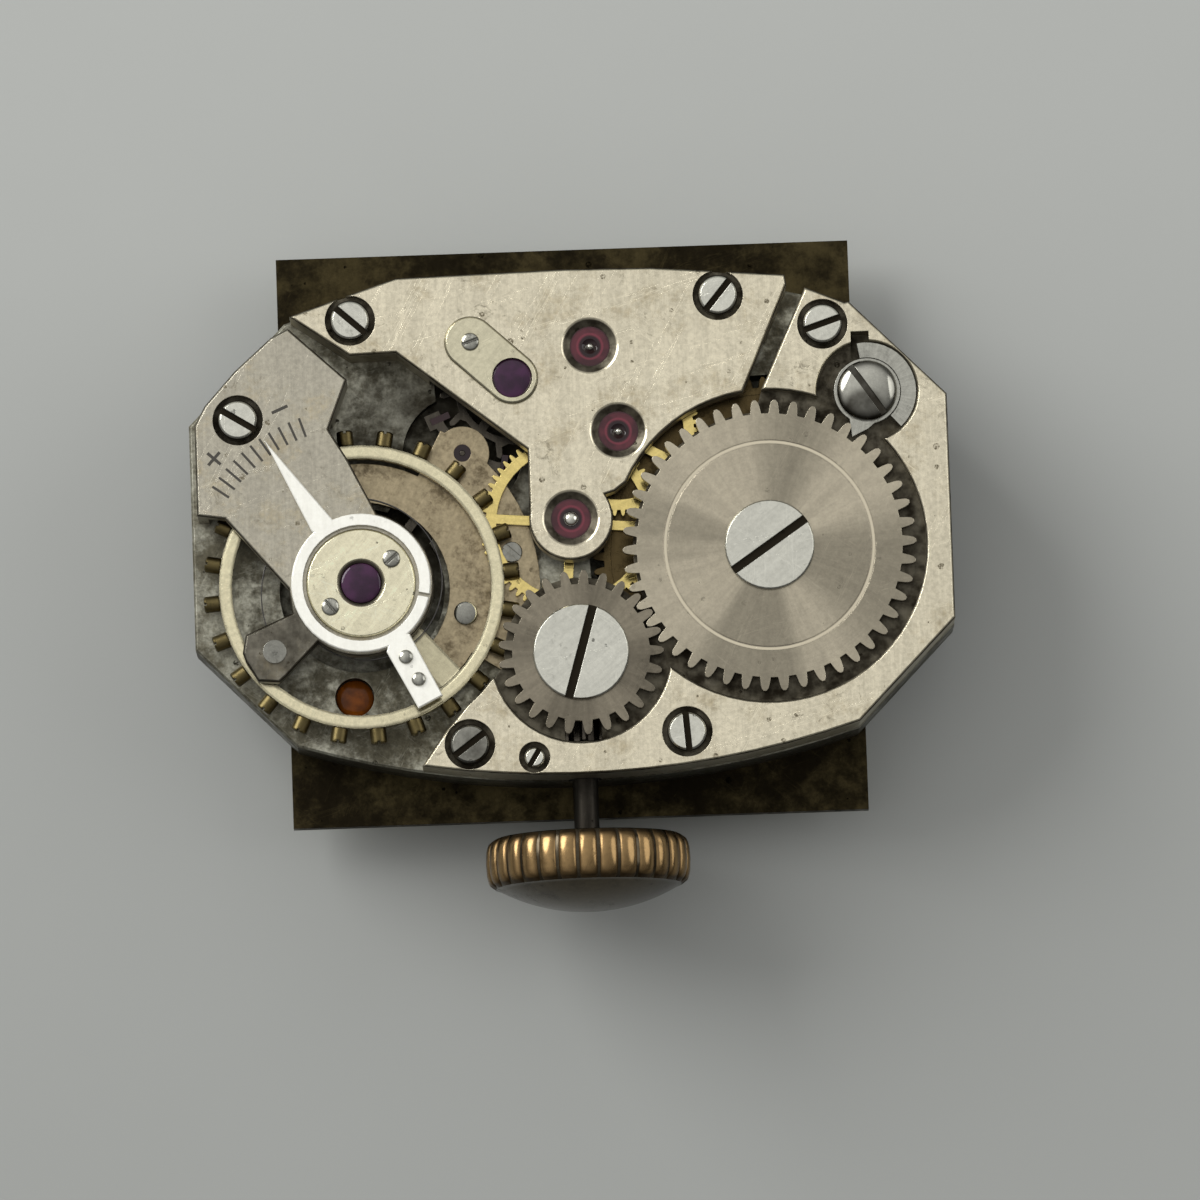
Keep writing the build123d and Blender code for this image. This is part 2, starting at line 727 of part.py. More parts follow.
def dial():
    """The square dial with its two feet and the hole for the hands' pipes."""
    half = dial_side / 2
    plate = prism([(-half, -half), (half, -half), (half, half), (-half, half)], 0, dial_thickness)
    plate -= disc(centre, dial_hole_radius, -overrun, dial_thickness + overrun)
    for share in dial_foot_shares:
        plate += disc(at(share), dial_foot_radius, dial_thickness, dial_thickness + dial_foot_length)
    return plate


# Going train
rim_width = 0.24
hub_radius = 0.34
centre_hub_radius = 0.51
arm_width = 0.22
wheel_arms = 4
barrel_phase = 0.0
tooth_low = barrel_high - barrel_tooth_band
centre_pinion_phase = meshing_phase(
    barrel, barrel_teeth, barrel_phase, centre, centre_pinion_leaves)
centre_wheel_phase = radians(-5.0)
third_pinion_phase = meshing_phase(
    centre, centre_wheel_teeth, centre_wheel_phase, third, third_pinion_leaves)
third_wheel_phase = third_pinion_phase
fourth_pinion_phase = meshing_phase(
    third, third_wheel_teeth, third_wheel_phase, fourth, fourth_pinion_leaves)
fourth_wheel_phase = fourth_pinion_phase
escape_pinion_phase = meshing_phase(
    fourth, fourth_wheel_teeth, fourth_wheel_phase, escape, escape_pinion_leaves)


def arbor(place, low_jewel, high_jewel, radius):
    """An arbor with a thinner pivot in each of its jewels, given the jewels' inner faces."""
    low = low_jewel + turning_gap
    high = high_jewel - turning_gap
    shaft = disc(place, radius, low, high)
    shaft += disc(place, pivot_radius, low - pivot_length, high + pivot_length)
    return shaft


def pinion(place, pitch_radius, leaves, phase, low, high):
    shaft = arbor(place, lower_jewel_high, jewel_high - jewel_thickness, arbor_radius)
    return shaft + toothed(place, pitch_radius, leaves, phase, low, high)


def train_wheel(place, pitch_radius, teeth, phase, low):
    """A spoked wheel with a hole that fits its pinion's arbor."""
    high = low + wheel_thickness
    wheel = spoked(place, pitch_radius, teeth, phase, low, high,
                   hub_radius, rim_width, wheel_arms, arm_width)
    return wheel - disc(place, arbor_radius, low - overrun, high + overrun)


def barrel_drum():
    """The drum with its ring of teeth, closed below by its floor."""
    drum = disc(barrel, barrel_inner + barrel_wall, barrel_low, barrel_high)
    drum += toothed(barrel, barrel_radius, barrel_teeth, barrel_phase, tooth_low, barrel_high)
    drum -= disc(barrel, barrel_inner, barrel_low + barrel_wall, barrel_high + overrun)
    return drum - disc(barrel, barrel_arbor_pivot + turning_gap, barrel_low - overrun, barrel_high)


barrel_inner = barrel_radius - root_depth_share * tooth_height(barrel_radius, barrel_teeth) - barrel_wall


def barrel_cover():
    """The cover snapped into the top of the drum."""
    return ring(barrel, barrel_arbor_pivot + turning_gap, barrel_inner,
                barrel_high - barrel_wall, barrel_high)


def half_turns(place, inner, turns, strip, growth, start):
    """A flat spiral of half circles, each wider than the last, as a closed outline."""
    shift = growth / 2
    first = onward(place, start + pi, shift / 2)
    second = onward(place, start, shift / 2)
    outer_edges = []
    inner_edges = []
    count = 2 * turns
    for half in range(count):
        middle = first if half % 2 == 0 else second
        radius = inner + strip / 2 + half * shift + shift / 2
        begin = start + half * pi
        for edges, reach in ((outer_edges, radius + strip / 2), (inner_edges, radius - strip / 2)):
            points = [onward(middle, begin + part * pi / 2, reach) for part in range(3)]
            edges.append(ThreePointArc(*points))
    caps = []
    for end in (0, -1):
        side = end * -1
        caps.append(Line(outer_edges[end] @ side, inner_edges[end] @ side))
    return outer_edges + inner_edges + caps


def spiral(place, inner, turns, strip, growth, start, low, height):
    outline = half_turns(place, inner, turns, strip, growth, start)
    return Pos(0, 0, low) * extrude(make_face(outline), amount=height, dir=(0, 0, 1))


def mainspring():
    inner = barrel_hub_radius + turning_gap
    growth = (barrel_inner - turning_gap - inner - mainspring_strip) / mainspring_turns
    low = barrel_low + barrel_wall + turning_gap
    height = barrel_high - barrel_low - 2 * barrel_wall - 2 * turning_gap
    return spiral(barrel, inner, mainspring_turns, mainspring_strip, growth, 0.0, low, height)


arbor_square = barrel_arbor_pivot * 2 ** 0.5 - turning_gap


def barrel_arbor():
    """The arbor with its hub in the drum, its pivots and the square for the ratchet wheel."""
    inner_low = barrel_low + barrel_wall + turning_gap
    inner_high = barrel_high - barrel_wall - turning_gap
    body = disc(barrel, barrel_hub_radius, inner_low, inner_high)
    body += disc(barrel, barrel_arbor_pivot, plate_low + barrel_floor / 3 + turning_gap, winding_low)
    side = arbor_square
    body += bar(onward(barrel, 0, -side / 2), onward(barrel, 0, side / 2), side, winding_low, bridge_top)
    return body - disc(barrel, screw_shank_radius, split, bridge_top + overrun)


def centre_wheel():
    high = centre_wheel_low + wheel_thickness
    wheel = spoked(centre, centre_wheel_radius, centre_wheel_teeth, centre_wheel_phase,
                   centre_wheel_low, high, centre_hub_radius, rim_width, wheel_arms, arm_width)
    return wheel - disc(centre, centre_arbor_radius, centre_wheel_low - overrun, high + overrun)


def centre_pinion():
    """The centre pinion on the long arbor that reaches through the plate to the hands."""
    leaves = toothed(centre, centre_pinion_radius, centre_pinion_leaves, centre_pinion_phase,
                     tooth_low - pinion_overhang, centre_wheel_low)
    shaft = disc(centre, centre_arbor_radius, -cannon_reach / 2, jewel_high - turning_gap)
    return leaves + shaft


def third_pinion():
    return pinion(third, third_pinion_radius, third_pinion_leaves, third_pinion_phase,
                  centre_wheel_low - pinion_overhang, third_wheel_low)


def third_wheel():
    return train_wheel(third, third_wheel_radius, third_wheel_teeth, third_wheel_phase, third_wheel_low)


def fourth_pinion():
    return pinion(fourth, fourth_pinion_radius, fourth_pinion_leaves, fourth_pinion_phase,
                  third_wheel_low - pinion_overhang, third_wheel_low + wheel_thickness + pinion_overhang)


def fourth_wheel():
    return train_wheel(fourth, fourth_wheel_radius, fourth_wheel_teeth, fourth_wheel_phase, fourth_wheel_low)


def escape_pinion():
    return pinion(escape, escape_pinion_radius, escape_pinion_leaves, escape_pinion_phase,
                  fourth_wheel_low - pinion_overhang, fourth_wheel_low + wheel_thickness + pinion_overhang)


# Escapement: a club tooth as shares of the pitch and of the tip radius
club_tooth_shares = [(-0.20, 0.80), (-0.02, 0.985), (0.10, 1.0), (0.16, 0.95), (0.10, 0.84), (0.30, 0.79)]
escape_rim_share = 0.70
escape_hub_share = 0.20


def escape_wheel():
    """The club-toothed escape wheel, its teeth leaning the way it turns."""
    low = escape_wheel_low
    high = low + wheel_thickness
    along = heading(escape, balance)
    points = []
    for tooth in range(escape_wheel_teeth):
        for side, reach in club_tooth_shares:
            angle = along + (tooth + side) * 2 * pi / escape_wheel_teeth
            points.append(onward(escape, angle, reach * escape_wheel_radius))
    wheel = prism(points, low, high)
    hub = escape_hub_share * escape_wheel_radius
    rim = escape_rim_share * escape_wheel_radius
    wheel -= ring(escape, hub, rim, low - overrun, high + overrun)
    for arm in range(wheel_arms):
        angle = along + arm * 2 * pi / wheel_arms
        inner = onward(escape, angle, hub / 2)
        outer = onward(escape, angle, rim + turning_gap)
        wheel += bar(inner, outer, arm_width, low, high)
    return wheel - disc(escape, arbor_radius, low - overrun, high + overrun)


stone_width = 0.15
stone_length = 0.46
stone_depth = 0.10
fork_arm_width = 0.22
fork_hub_radius = 0.30
horn_length = 0.26
slot_clearance = 0.03


def pallet_line():
    return heading(pallet, balance)


def stone_bar(side, width, low, high, depth):
    angle = heading(escape, balance) + side * radians(stone_angle)
    tip = onward(escape, angle, escape_wheel_radius - depth)
    tail = onward(escape, angle, escape_wheel_radius - stone_depth + stone_length)
    return bar(tip, tail, width, low, high)


def pallet_stones():
    """The entry and exit stones, set in the fork's arms."""
    low = escape_wheel_low
    high = low + wheel_thickness
    return [stone_bar(side, stone_width, low, high, stone_depth) for side in (-1, 1)]


def pallet_fork():
    """The lever with its two arms, its horns and the slot for the impulse jewel."""
    low = escape_wheel_low
    high = low + wheel_thickness
    line = pallet_line()
    slot_middle = apart(pallet, balance) - impulse_radius
    tip = onward(pallet, line, slot_middle + horn_length / 2)
    root = onward(pallet, line, slot_middle - 2 * horn_length)
    fork = disc(pallet, fork_hub_radius, low, high)
    fork += bar(pallet, root, fork_arm_width, low, high)
    fork += bar(onward(pallet, line, slot_middle - 2 * horn_length), tip, 2 * fork_arm_width, low, high)
    for side in (-1, 1):
        angle = heading(escape, balance) + side * radians(stone_angle)
        seat = onward(escape, angle, escape_wheel_radius + stone_length / 2)
        fork += bar(pallet, seat, fork_arm_width, low, high)
        seat_near = onward(escape, angle, escape_wheel_radius + level_gap)
        seat_far = onward(escape, angle, escape_wheel_radius + stone_length)
        fork += bar(seat_near, seat_far, stone_width + fork_arm_width, low, high)
        fork -= stone_bar(side, stone_width, low - overrun, high + overrun, stone_depth)
    mouth = onward(pallet, line, slot_middle + horn_length)
    slot_root = onward(pallet, line, slot_middle - horn_length / 2)
    slot_width = 2 * (impulse_jewel_radius + slot_clearance)
    fork -= bar(slot_root, mouth, slot_width, low - overrun, high + overrun)
    return fork - disc(pallet, arbor_radius, low - overrun, high + overrun)


def pallet_staff():
    return arbor(pallet, lower_jewel_high, split + jewel_thickness / 4, arbor_radius)


# Balance
def balance_wheel():
    """The rim and its two arms, with a hole in the rim for each screw."""
    rim_inner = balance_rim_radius - balance_rim_width
    rim_high = balance_rim_low + balance_rim_height
    wheel = ring(balance, rim_inner, balance_rim_radius, balance_rim_low, rim_high)
    arm_high = balance_arm_low + balance_arm_thickness
    across = radians(balance_angle)
    reach = rim_inner + balance_rim_width / 2
    wheel += bar(onward(balance, across, -reach), onward(balance, across, reach), balance_arm_width,
                 balance_arm_low, arm_high)
    wheel += disc(balance, balance_arm_width, balance_arm_low, arm_high)
    wheel -= balance_rim_screws()
    return wheel - disc(balance, balance_staff_radius, balance_arm_low - overrun, arm_high + overrun)


def rim_screw(angle):
    """One rim screw: a thin shank sunk in the rim and a head outside it."""
    middle = balance_rim_low + balance_rim_height / 2
    shank_length = balance_rim_width / 2
    shank = Cylinder(balance_screw_head / 2, shank_length, align=(Align.CENTER, Align.CENTER, Align.MAX))
    head = Cylinder(balance_screw_head, balance_screw_length - turning_gap,
                    align=standing)
    place = onward(balance, angle, balance_rim_radius + turning_gap)
    shank += Cylinder(balance_screw_head / 2, turning_gap, align=(Align.CENTER, Align.CENTER, Align.MAX))
    return Pos(place[0], place[1], middle) * Rot(0, 0, degrees(angle)) * Rot(0, 90, 0) * (shank + head)


def balance_rim_screws():
    screws = []
    for number in range(balance_screw_count):
        angle = radians(balance_angle) + (number + 0.5) * 2 * pi / balance_screw_count
        screws.append(rim_screw(angle))
    return screws


staff_low = train_floor
roller_low = escape_wheel_low + wheel_thickness + level_gap / 2
roller_thickness = 0.16
impulse_jewel_low = escape_wheel_low + turning_gap


def balance_staff():
    staff = disc(balance, balance_staff_radius, staff_low + turning_gap, cock_under + turning_gap)
    pivot_low = lower_jewel_high - jewel_thickness / 2
    return staff + disc(balance, pivot_radius, pivot_low, bridge_top - turning_gap)


def roller():
    """The roller table, with a nick over the impulse jewel's hole."""
    table = ring(balance, balance_staff_radius, roller_radius, roller_low, roller_low + roller_thickness)
    place = onward(balance, pallet_line() + pi, impulse_radius)
    high = roller_low + roller_thickness
    return table - disc(place, impulse_jewel_radius, roller_low - overrun, high + overrun)


def impulse_jewel():
    place = onward(balance, pallet_line() + pi, impulse_radius)
    return disc(place, impulse_jewel_radius, impulse_jewel_low, roller_low + roller_thickness)


def hairspring_collet():
    low = hairspring_low - turning_gap
    return ring(balance, balance_staff_radius, collet_radius, low, hairspring_low + hairspring_height)


def hairspring():
    """The flat spring from just outside the collet to its stud, as one unbroken strip."""
    return spiral(balance, hairspring_inner_radius - hairspring_strip, hairspring_turns, hairspring_strip,
                  hairspring_growth, hairspring_start, hairspring_low, hairspring_height)


hairspring_start = heading(balance, at(stud_share))
stud_reach = apart(balance, at(stud_share)) - stud_radius
hairspring_growth = (stud_reach - hairspring_inner_radius) / hairspring_turns


def least_gap():
    """The least distance between neighbouring turns of the hairspring, measured on its middle line."""
    points = []
    steps = 60
    shift = hairspring_growth / 2
    for half in range(2 * hairspring_turns):
        middle = onward(balance, hairspring_start + (half + 1) * pi, shift / 2)
        radius = hairspring_inner_radius - hairspring_strip / 2 + half * shift + shift / 2
        for step in range(steps):
            points.append(onward(middle, hairspring_start + (half + step / steps) * pi, radius))
    gaps = []
    for number, point in enumerate(points):
        later = points[number + steps:]
        gaps.extend(apart(point, other) for other in later)
    return min(gaps) - hairspring_strip


def hairspring_stud():
    """The pin that holds the spring's outer end under the cock's ear."""
    place = at(stud_share)
    head_high = bridge_top + stud_radius / 2
    return disc(place, stud_radius, hairspring_low - turning_gap, bridge_top) + disc(
        place, stud_head_radius, bridge_top, head_high)


def end_piece_plate():
    """The round plate over the balance's upper bearing, inside the regulator's ring."""
    low = bridge_top
    high = bridge_top + end_piece_thickness
    plate = disc(balance, end_piece_radius, low, high)
    plate = bevelled(plate)
    plate -= disc(balance, jewel_radius, low - overrun, high + overrun)
    plate -= Pos(balance[0], balance[1], high - end_piece_hole_bevel) * Cone(
        jewel_radius, jewel_radius + end_piece_hole_bevel, end_piece_hole_bevel, align=standing)
    for place in end_piece_screw_places():
        plate -= small_hole(place, cap_shank_radius, low - overrun, high + overrun)
    return plate


cap_plate_width_share = 1.30
cap_plate_thickness = 0.12


def escape_cap_plate():
    """The gold plate that holds the cap jewel over the escape wheel's bearing."""
    tail = at(escape_cap_screw_share)
    half = cap_plate_width_share * jewel_radius
    low = bridge_top
    high = bridge_top + cap_plate_thickness
    plate = bar(escape, tail, 2 * half, low, high)
    plate += disc(escape, half, low, high)
    plate += disc(tail, half, low, high)
    plate = bevelled(plate)
    plate -= disc(escape, jewel_radius, low - overrun, high + overrun)
    return plate - small_hole(tail, cap_shank_radius, low - overrun, high + overrun)


# Regulator
pointer_shares = [(-0.680, -0.023), (-0.7977, 0.342), (-0.624, 0.0207), (-0.600, -0.060)]
tail_shares = [(-0.480, -0.420), (-0.4946, -0.501), (-0.4159, -0.724), (-0.3518, -0.6765),
               (-0.4327, -0.434)]
slit_angle = -12.6
slit_width = 0.09


def regulator():
    """The index: a slit ring round the end piece, with a pointer and a tail for the curb pins."""
    low = bridge_top + turning_gap
    high = low + regulator_thickness
    inner = regulator_ring_outer - regulator_ring_width
    body = disc(balance, regulator_ring_outer, low, high)
    body += prism([at(share) for share in pointer_shares], low, high)
    body += prism([at(share) for share in tail_shares], low, high)
    body = bevelled(body, bridge_bevel / 2)
    body -= disc(balance, inner, low - overrun, high + overrun)
    slit_near = onward(balance, radians(slit_angle), inner - regulator_ring_width)
    slit_far = onward(balance, radians(slit_angle), regulator_ring_outer + regulator_ring_width)
    body -= bar(slit_near, slit_far, slit_width, low - overrun, high + overrun)
    for share in curb_pin_shares:
        body -= disc(at(share), curb_pin_radius, low - overrun, high + overrun)
    return body


def curb_pins():
    low = hairspring_low - turning_gap
    high = bridge_top + turning_gap + regulator_thickness
    return [disc(at(share), curb_pin_radius, low, high + turning_gap) for share in curb_pin_shares]


# Winding wheels and click
ratchet_phase = 0.0
crown_wheel_phase = meshing_phase(
    barrel, ratchet_teeth, ratchet_phase, crown_wheel_place, crown_wheel_teeth)
ratchet_circle_share = 0.71


def ratchet_wheel():
    """The wheel on the barrel arbor's square, with a shallow turned circle on its face."""
    wheel = toothed(barrel, ratchet_radius, ratchet_teeth, ratchet_phase, winding_low, bridge_top)
    circle = ratchet_circle_share * ratchet_tip
    wheel -= ring(barrel, circle - bridge_bevel, circle + bridge_bevel,
                  bridge_top - turning_gap, bridge_top + overrun)
    side = arbor_square
    wheel -= bar(onward(barrel, 0, -side / 2), onward(barrel, 0, side / 2), side, split,
                 bridge_top + overrun)
    return wheel


def ratchet_screw():
    return screw(barrel, ratchet_screw_head, bridge_top, bridge_top + big_head_height,
                 screw_shank_radius, split + screw_head_height, ratchet_slot_angle, wide_slot_width)


big_head_height = 0.16
ratchet_slot_angle = 34.0
crown_wheel_slot_angle = 73.5
click_slot_angle = -56.0


def crown_wheel():
    wheel = toothed(crown_wheel_place, crown_wheel_radius, crown_wheel_teeth, crown_wheel_phase,
                    winding_low, bridge_top)
    bore = crown_wheel_seat_radius + turning_gap
    return wheel - disc(crown_wheel_place, bore, split, bridge_top + overrun)


def crown_wheel_seat():
    """The ring that the crown wheel turns on."""
    return ring(crown_wheel_place, crown_wheel_shank_radius, crown_wheel_seat_radius, winding_floor,
                bridge_top + turning_gap)


def crown_wheel_screw():
    low = bridge_top + turning_gap
    return screw(crown_wheel_place, crown_wheel_screw_head, low, low + big_head_height,
                 crown_wheel_shank_radius, crown_wheel_screw_low, crown_wheel_slot_angle,
                 wide_slot_width)


click_body_radius = 0.76
click_beak_angle = 48.0
click_beak_width = 0.34
click_side_share = 0.9


def click():
    """The pawl on its screw, with a beak between two teeth of the ratchet wheel."""
    low = winding_floor + turning_gap
    high = low + click_thickness
    pawl = disc(click_place, click_body_radius, low, high)
    root = ratchet_radius - tooth_height(ratchet_radius, ratchet_teeth) / 2
    gap = round(radians(click_beak_angle) * ratchet_teeth / (2 * pi) - 0.5) + 0.5
    angle = gap * 2 * pi / ratchet_teeth
    tip = onward(barrel, angle, root)
    shoulder = onward(barrel, angle + click_beak_width / ratchet_tip, ratchet_tip + 2 * level_gap)
    other = onward(barrel, angle - click_beak_width / ratchet_tip / 2, ratchet_tip + 2 * level_gap)
    away = heading(barrel, click_place)
    side = onward(click_place, away + pi / 2, click_body_radius / 2)
    far_side = onward(click_place, away - pi / 2, click_side_share * click_body_radius)
    pawl += prism([tip, other, far_side, side, shoulder], low, high)
    return pawl - disc(click_place, click_bore, low - overrun, high + overrun)


click_bore = 0.32
click_neck_radius = 0.30


def click_screw():
    """The polished screw that the click turns on, with a domed head and a neck through the click."""
    low = winding_floor + 2 * turning_gap + click_thickness
    body = screw(click_place, click_screw_head, low, low + big_head_height + bridge_bevel,
                 click_neck_radius, winding_floor, click_slot_angle)
    return body + disc(click_place, screw_shank_radius, split + turning_gap, winding_floor)


click_spring_start = -48.0
click_spring_end = 100.0


def click_spring():
    """The broad curved spring beside the click, with its foot at the slot of the bridge."""
    low = winding_floor
    high = low + click_thickness
    outer = click_recess_radius - turning_gap
    band = ring(click_place, click_body_radius + turning_gap, outer, low, high)
    return band & wedge(click_place, click_spring_start, click_spring_end, outer, low, high)


# Crown and stem, built upright and then turned outward
def upright(radius, near, far):
    return Pos(0, 0, near) * Cylinder(radius, far - near, align=standing)


def winding_stem():
    """The stem: pilot, square, bearing for the winding pinion, groove, neck and threaded end."""
    stem = upright(stem_pilot_radius, pilot_near, square_near)
    square = Box(stem_square, stem_square, winding_near - square_near, align=standing)
    stem += Pos(0, 0, square_near) * square
    stem += upright(winding_pinion_bore - turning_gap, winding_near, groove_near)
    stem += upright(groove_radius, groove_near, groove_far)
    stem += upright(stem_bearing_radius, groove_far, plate_edge - turning_gap)
    stem += upright(stem_neck_radius, plate_edge - turning_gap, crown_near + crown_seat_depth)
    return along_stem(stem)


rib_land_share = 0.45
rib_foot_share = 0.80


def crown():
    """The ribbed crown with its domed end."""
    half_pitch = pi / crown_rib_count
    outline = []
    for rib in range(crown_rib_count):
        angle = 2 * rib * half_pitch
        groove = crown_radius - crown_rib_depth
        outline.append(onward(centre, angle - rib_land_share * half_pitch, crown_radius))
        outline.append(onward(centre, angle + rib_land_share * half_pitch, crown_radius))
        outline.append(onward(centre, angle + rib_foot_share * half_pitch, groove))
        outline.append(onward(centre, angle + (2 - rib_foot_share) * half_pitch, groove))
    band = prism(outline, crown_near, crown_near + crown_band)
    foot = crown_radius - 2 * crown_rib_depth
    dome_low = crown_near + crown_band
    ball = (foot ** 2 + crown_dome ** 2) / (2 * crown_dome)
    dome = Pos(0, 0, dome_low + crown_dome - ball) * Sphere(ball)
    dome &= upright(foot, dome_low, dome_low + 2 * crown_dome)
    body = band + dome
    body -= upright(stem_neck_radius, crown_near - overrun, crown_near + crown_seat_depth)
    hollow = crown_radius / 2
    body -= upright(hollow, crown_near - overrun, crown_near + crown_rib_depth * 2)
    return along_stem(body)


def winding_pinion():
    """The pinion that drives the crown wheel, free on the stem's round part."""
    bore = upright(winding_pinion_bore, winding_near - overrun, winding_far + overrun)
    radius = winding_pinion_radius / (1 + 2 * tip_height_share / winding_pinion_leaves)
    body = toothed(centre, radius, winding_pinion_leaves, pi / 2, winding_near, winding_far)
    return along_stem(body - bore)


def sliding_pinion():
    """The pinion on the stem's square, with a groove round its middle for the yoke."""
    radius = sliding_pinion_radius / (1 + 2 * tip_height_share / winding_pinion_leaves)
    third_length = sliding_pinion_length / 3
    body = upright(sliding_groove_radius, sliding_near, sliding_far - pinion_play)
    near_end = sliding_near + third_length
    far_start = sliding_far - third_length
    body += toothed(centre, radius, winding_pinion_leaves, pi / 2, sliding_near, near_end - pinion_play)
    body += upright(sliding_pinion_radius, far_start, sliding_far - pinion_play)
    hole = stem_square + 2 * turning_gap
    square = Box(hole, hole, 2 * overrun, align=(Align.CENTER, Align.CENTER, Align.CENTER))
    return along_stem(body - Pos(0, 0, (sliding_near + sliding_far) / 2) * square)


lever_low = motion_high - level_gap - lever_thickness
nose_radius = 0.08
setting_lever_width = 0.29
lever_tail_angle = 150.0
yoke_disc_radius = 0.34
yoke_nose_radius = 0.064
yoke_pad_radius = 0.13


def setting_lever():
    """The lever whose nose stands in the stem's groove; it turns on the screw from the bridge side."""
    high = lever_low + lever_thickness
    nose = (stem_x, -groove_middle)
    tail = onward(setting_lever_place, radians(lever_tail_angle), 2 * lever_width)
    lever = bar(setting_lever_place, nose, setting_lever_width, lever_low, high)
    lever += disc(setting_lever_place, lever_disc_radius, lever_low, high)
    lever += bar(setting_lever_place, tail, lever_width / 2, lever_low, high)
    lever += disc(nose, nose_radius * 2, lever_low, high)
    lever += disc(nose, nose_radius, high, split - groove_radius - turning_gap)
    bore = lever_pivot_radius + turning_gap
    return lever - disc(setting_lever_place, bore, lever_low - overrun, high + overrun)


def yoke():
    """The lever whose nose stands in the sliding pinion's groove."""
    high = lever_low + lever_thickness
    nose = (stem_x, -(sliding_near + sliding_far - pinion_play) / 2)
    lever = bar(yoke_place, nose, lever_width / 2, lever_low, high)
    lever += disc(yoke_place, yoke_disc_radius, lever_low, high)
    lever += disc(nose, yoke_pad_radius, lever_low, high)
    lever += disc(nose, yoke_nose_radius, high, split - sliding_groove_radius - turning_gap)
    return lever - disc(yoke_place, lever_pivot_radius + turning_gap, lever_low - overrun, high + overrun)


cover_thickness = 0.12
cover_low = lever_low - level_gap / 2 - cover_thickness
lever_spring_shares = [(-0.395, -0.760), (-0.320, -0.650), (-0.240, -0.620), (-0.150, -0.630),
                       (-0.120, -0.720), (-0.180, -0.800), (-0.060, -0.860), (-0.060, -0.970),
                       (-0.170, -0.960), (-0.280, -0.850)]


def setting_lever_spring():
    """The spring plate that covers the setting lever and the yoke behind the dial."""
    plate = prism([at(share) for share in lever_spring_shares], cover_low, cover_low + cover_thickness)
    plate -= small_hole(at(lever_spring_screw_share), lever_pivot_radius, plate_low, split)
    return plate - small_hole(yoke_place, lever_pivot_radius, plate_low, split)


def small_plate_screws():
    """Two screws through the pallet bridge, and from the dial side the yoke's and the spring's."""
    screws = []
    top = split + pallet_bridge_thickness
    for place in pallet_screw_places():
        screws.append(screw(place, small_head_radius, top, top + level_gap, small_shank_radius,
                            train_floor, bridge_screw_slot_angles[0]))
    for place in (at(lever_spring_screw_share), yoke_place):
        head = disc(place, small_head_radius, cover_low - level_gap, cover_low)
        screws.append(head + disc(place, lever_pivot_radius, cover_low, yoke_screw_high))
    return screws


def setting_lever_screw():
    low = bridge_top - screw_seat_depth
    return screw(setting_lever_place, small_head_radius, low, bridge_top + turning_gap,
                 lever_pivot_radius, lever_low, setting_screw_slot_angle)


setting_screw_slot_angle = 58.0


# Motion work
cannon_phase = 0.0
minute_phase = meshing_phase(centre, cannon_leaves, cannon_phase, minute_place, minute_wheel_teeth)
hour_phase = meshing_phase(minute_place, minute_pinion_leaves, minute_phase, centre, hour_wheel_teeth)
setting_phase = meshing_phase(
    minute_place, minute_wheel_teeth, minute_phase, setting_place, setting_wheel_teeth)
hour_pipe_low = -hour_seat_length - hour_shoulder_stand


def cannon_pinion():
    """The cannon pinion: leaves, long tube and the seat for the minute hand at its end."""
    high = motion_high - turning_gap
    leaves_low = minute_wheel_low - pinion_overhang
    body = toothed(centre, cannon_radius, cannon_leaves, cannon_phase, leaves_low, high)
    minute_shoulder = -cannon_reach + minute_seat_length
    body += disc(centre, cannon_body_radius, minute_shoulder, high)
    body += disc(centre, minute_seat_radius, -cannon_reach, minute_shoulder)
    bore_low = -cannon_reach / 2 - turning_gap
    return body - disc(centre, centre_arbor_radius + turning_gap / 2, bore_low, high + overrun)


def hour_wheel():
    """The hour wheel and its pipe, which carries the hour hand below the dial."""
    high = hour_wheel_low + wheel_thickness
    wheel = toothed(centre, hour_wheel_radius, hour_wheel_teeth, hour_phase, hour_wheel_low, high)
    wheel += disc(centre, hour_shoulder_radius, -hour_shoulder_stand, hour_wheel_low)
    wheel += disc(centre, hour_seat_radius, hour_pipe_low, -hour_shoulder_stand)
    return wheel - disc(centre, cannon_body_radius + turning_gap, hour_pipe_low - overrun, high + overrun)


def minute_wheel():
    high = minute_wheel_low + wheel_thickness
    wheel = toothed(minute_place, minute_wheel_radius, minute_wheel_teeth, minute_phase,
                    minute_wheel_low, high)
    wheel += toothed(minute_place, minute_pinion_radius, minute_pinion_leaves, minute_phase,
                     plate_low + turning_gap, minute_wheel_low)
    return wheel - disc(minute_place, minute_post_radius + turning_gap, 0, high + overrun)


def setting_wheel():
    high = motion_high + setting_wheel_rise - level_gap
    wheel = toothed(setting_place, setting_wheel_radius, setting_wheel_teeth, setting_phase,
                    minute_wheel_low, high)
    return wheel - disc(setting_place, setting_post_radius + turning_gap, 0, high + overrun)


# Bearings and fixings
def upper_jewels():
    low = jewel_high - jewel_thickness
    bore = pivot_radius + turning_gap / 2
    stones = [jewel(centre, jewel_radius, centre_arbor_radius + turning_gap / 2, low, jewel_high)]
    for place in (third, fourth, escape):
        stones.append(jewel(place, jewel_radius, bore, low, jewel_high))
    pallet_high = split + pallet_bridge_thickness
    stones.append(ring(pallet, bore, lower_train_jewel_radius, pallet_high - jewel_thickness, pallet_high))
    balance_high = bridge_top - level_gap
    stones.append(jewel(balance, jewel_radius, bore, balance_high - jewel_thickness, balance_high))
    return stones


def lower_jewels():
    bore = pivot_radius + turning_gap / 2
    low = lower_jewel_high - jewel_thickness
    return [ring(place, bore, radius, low, lower_jewel_high) for place, radius in lower_jewel_places()]


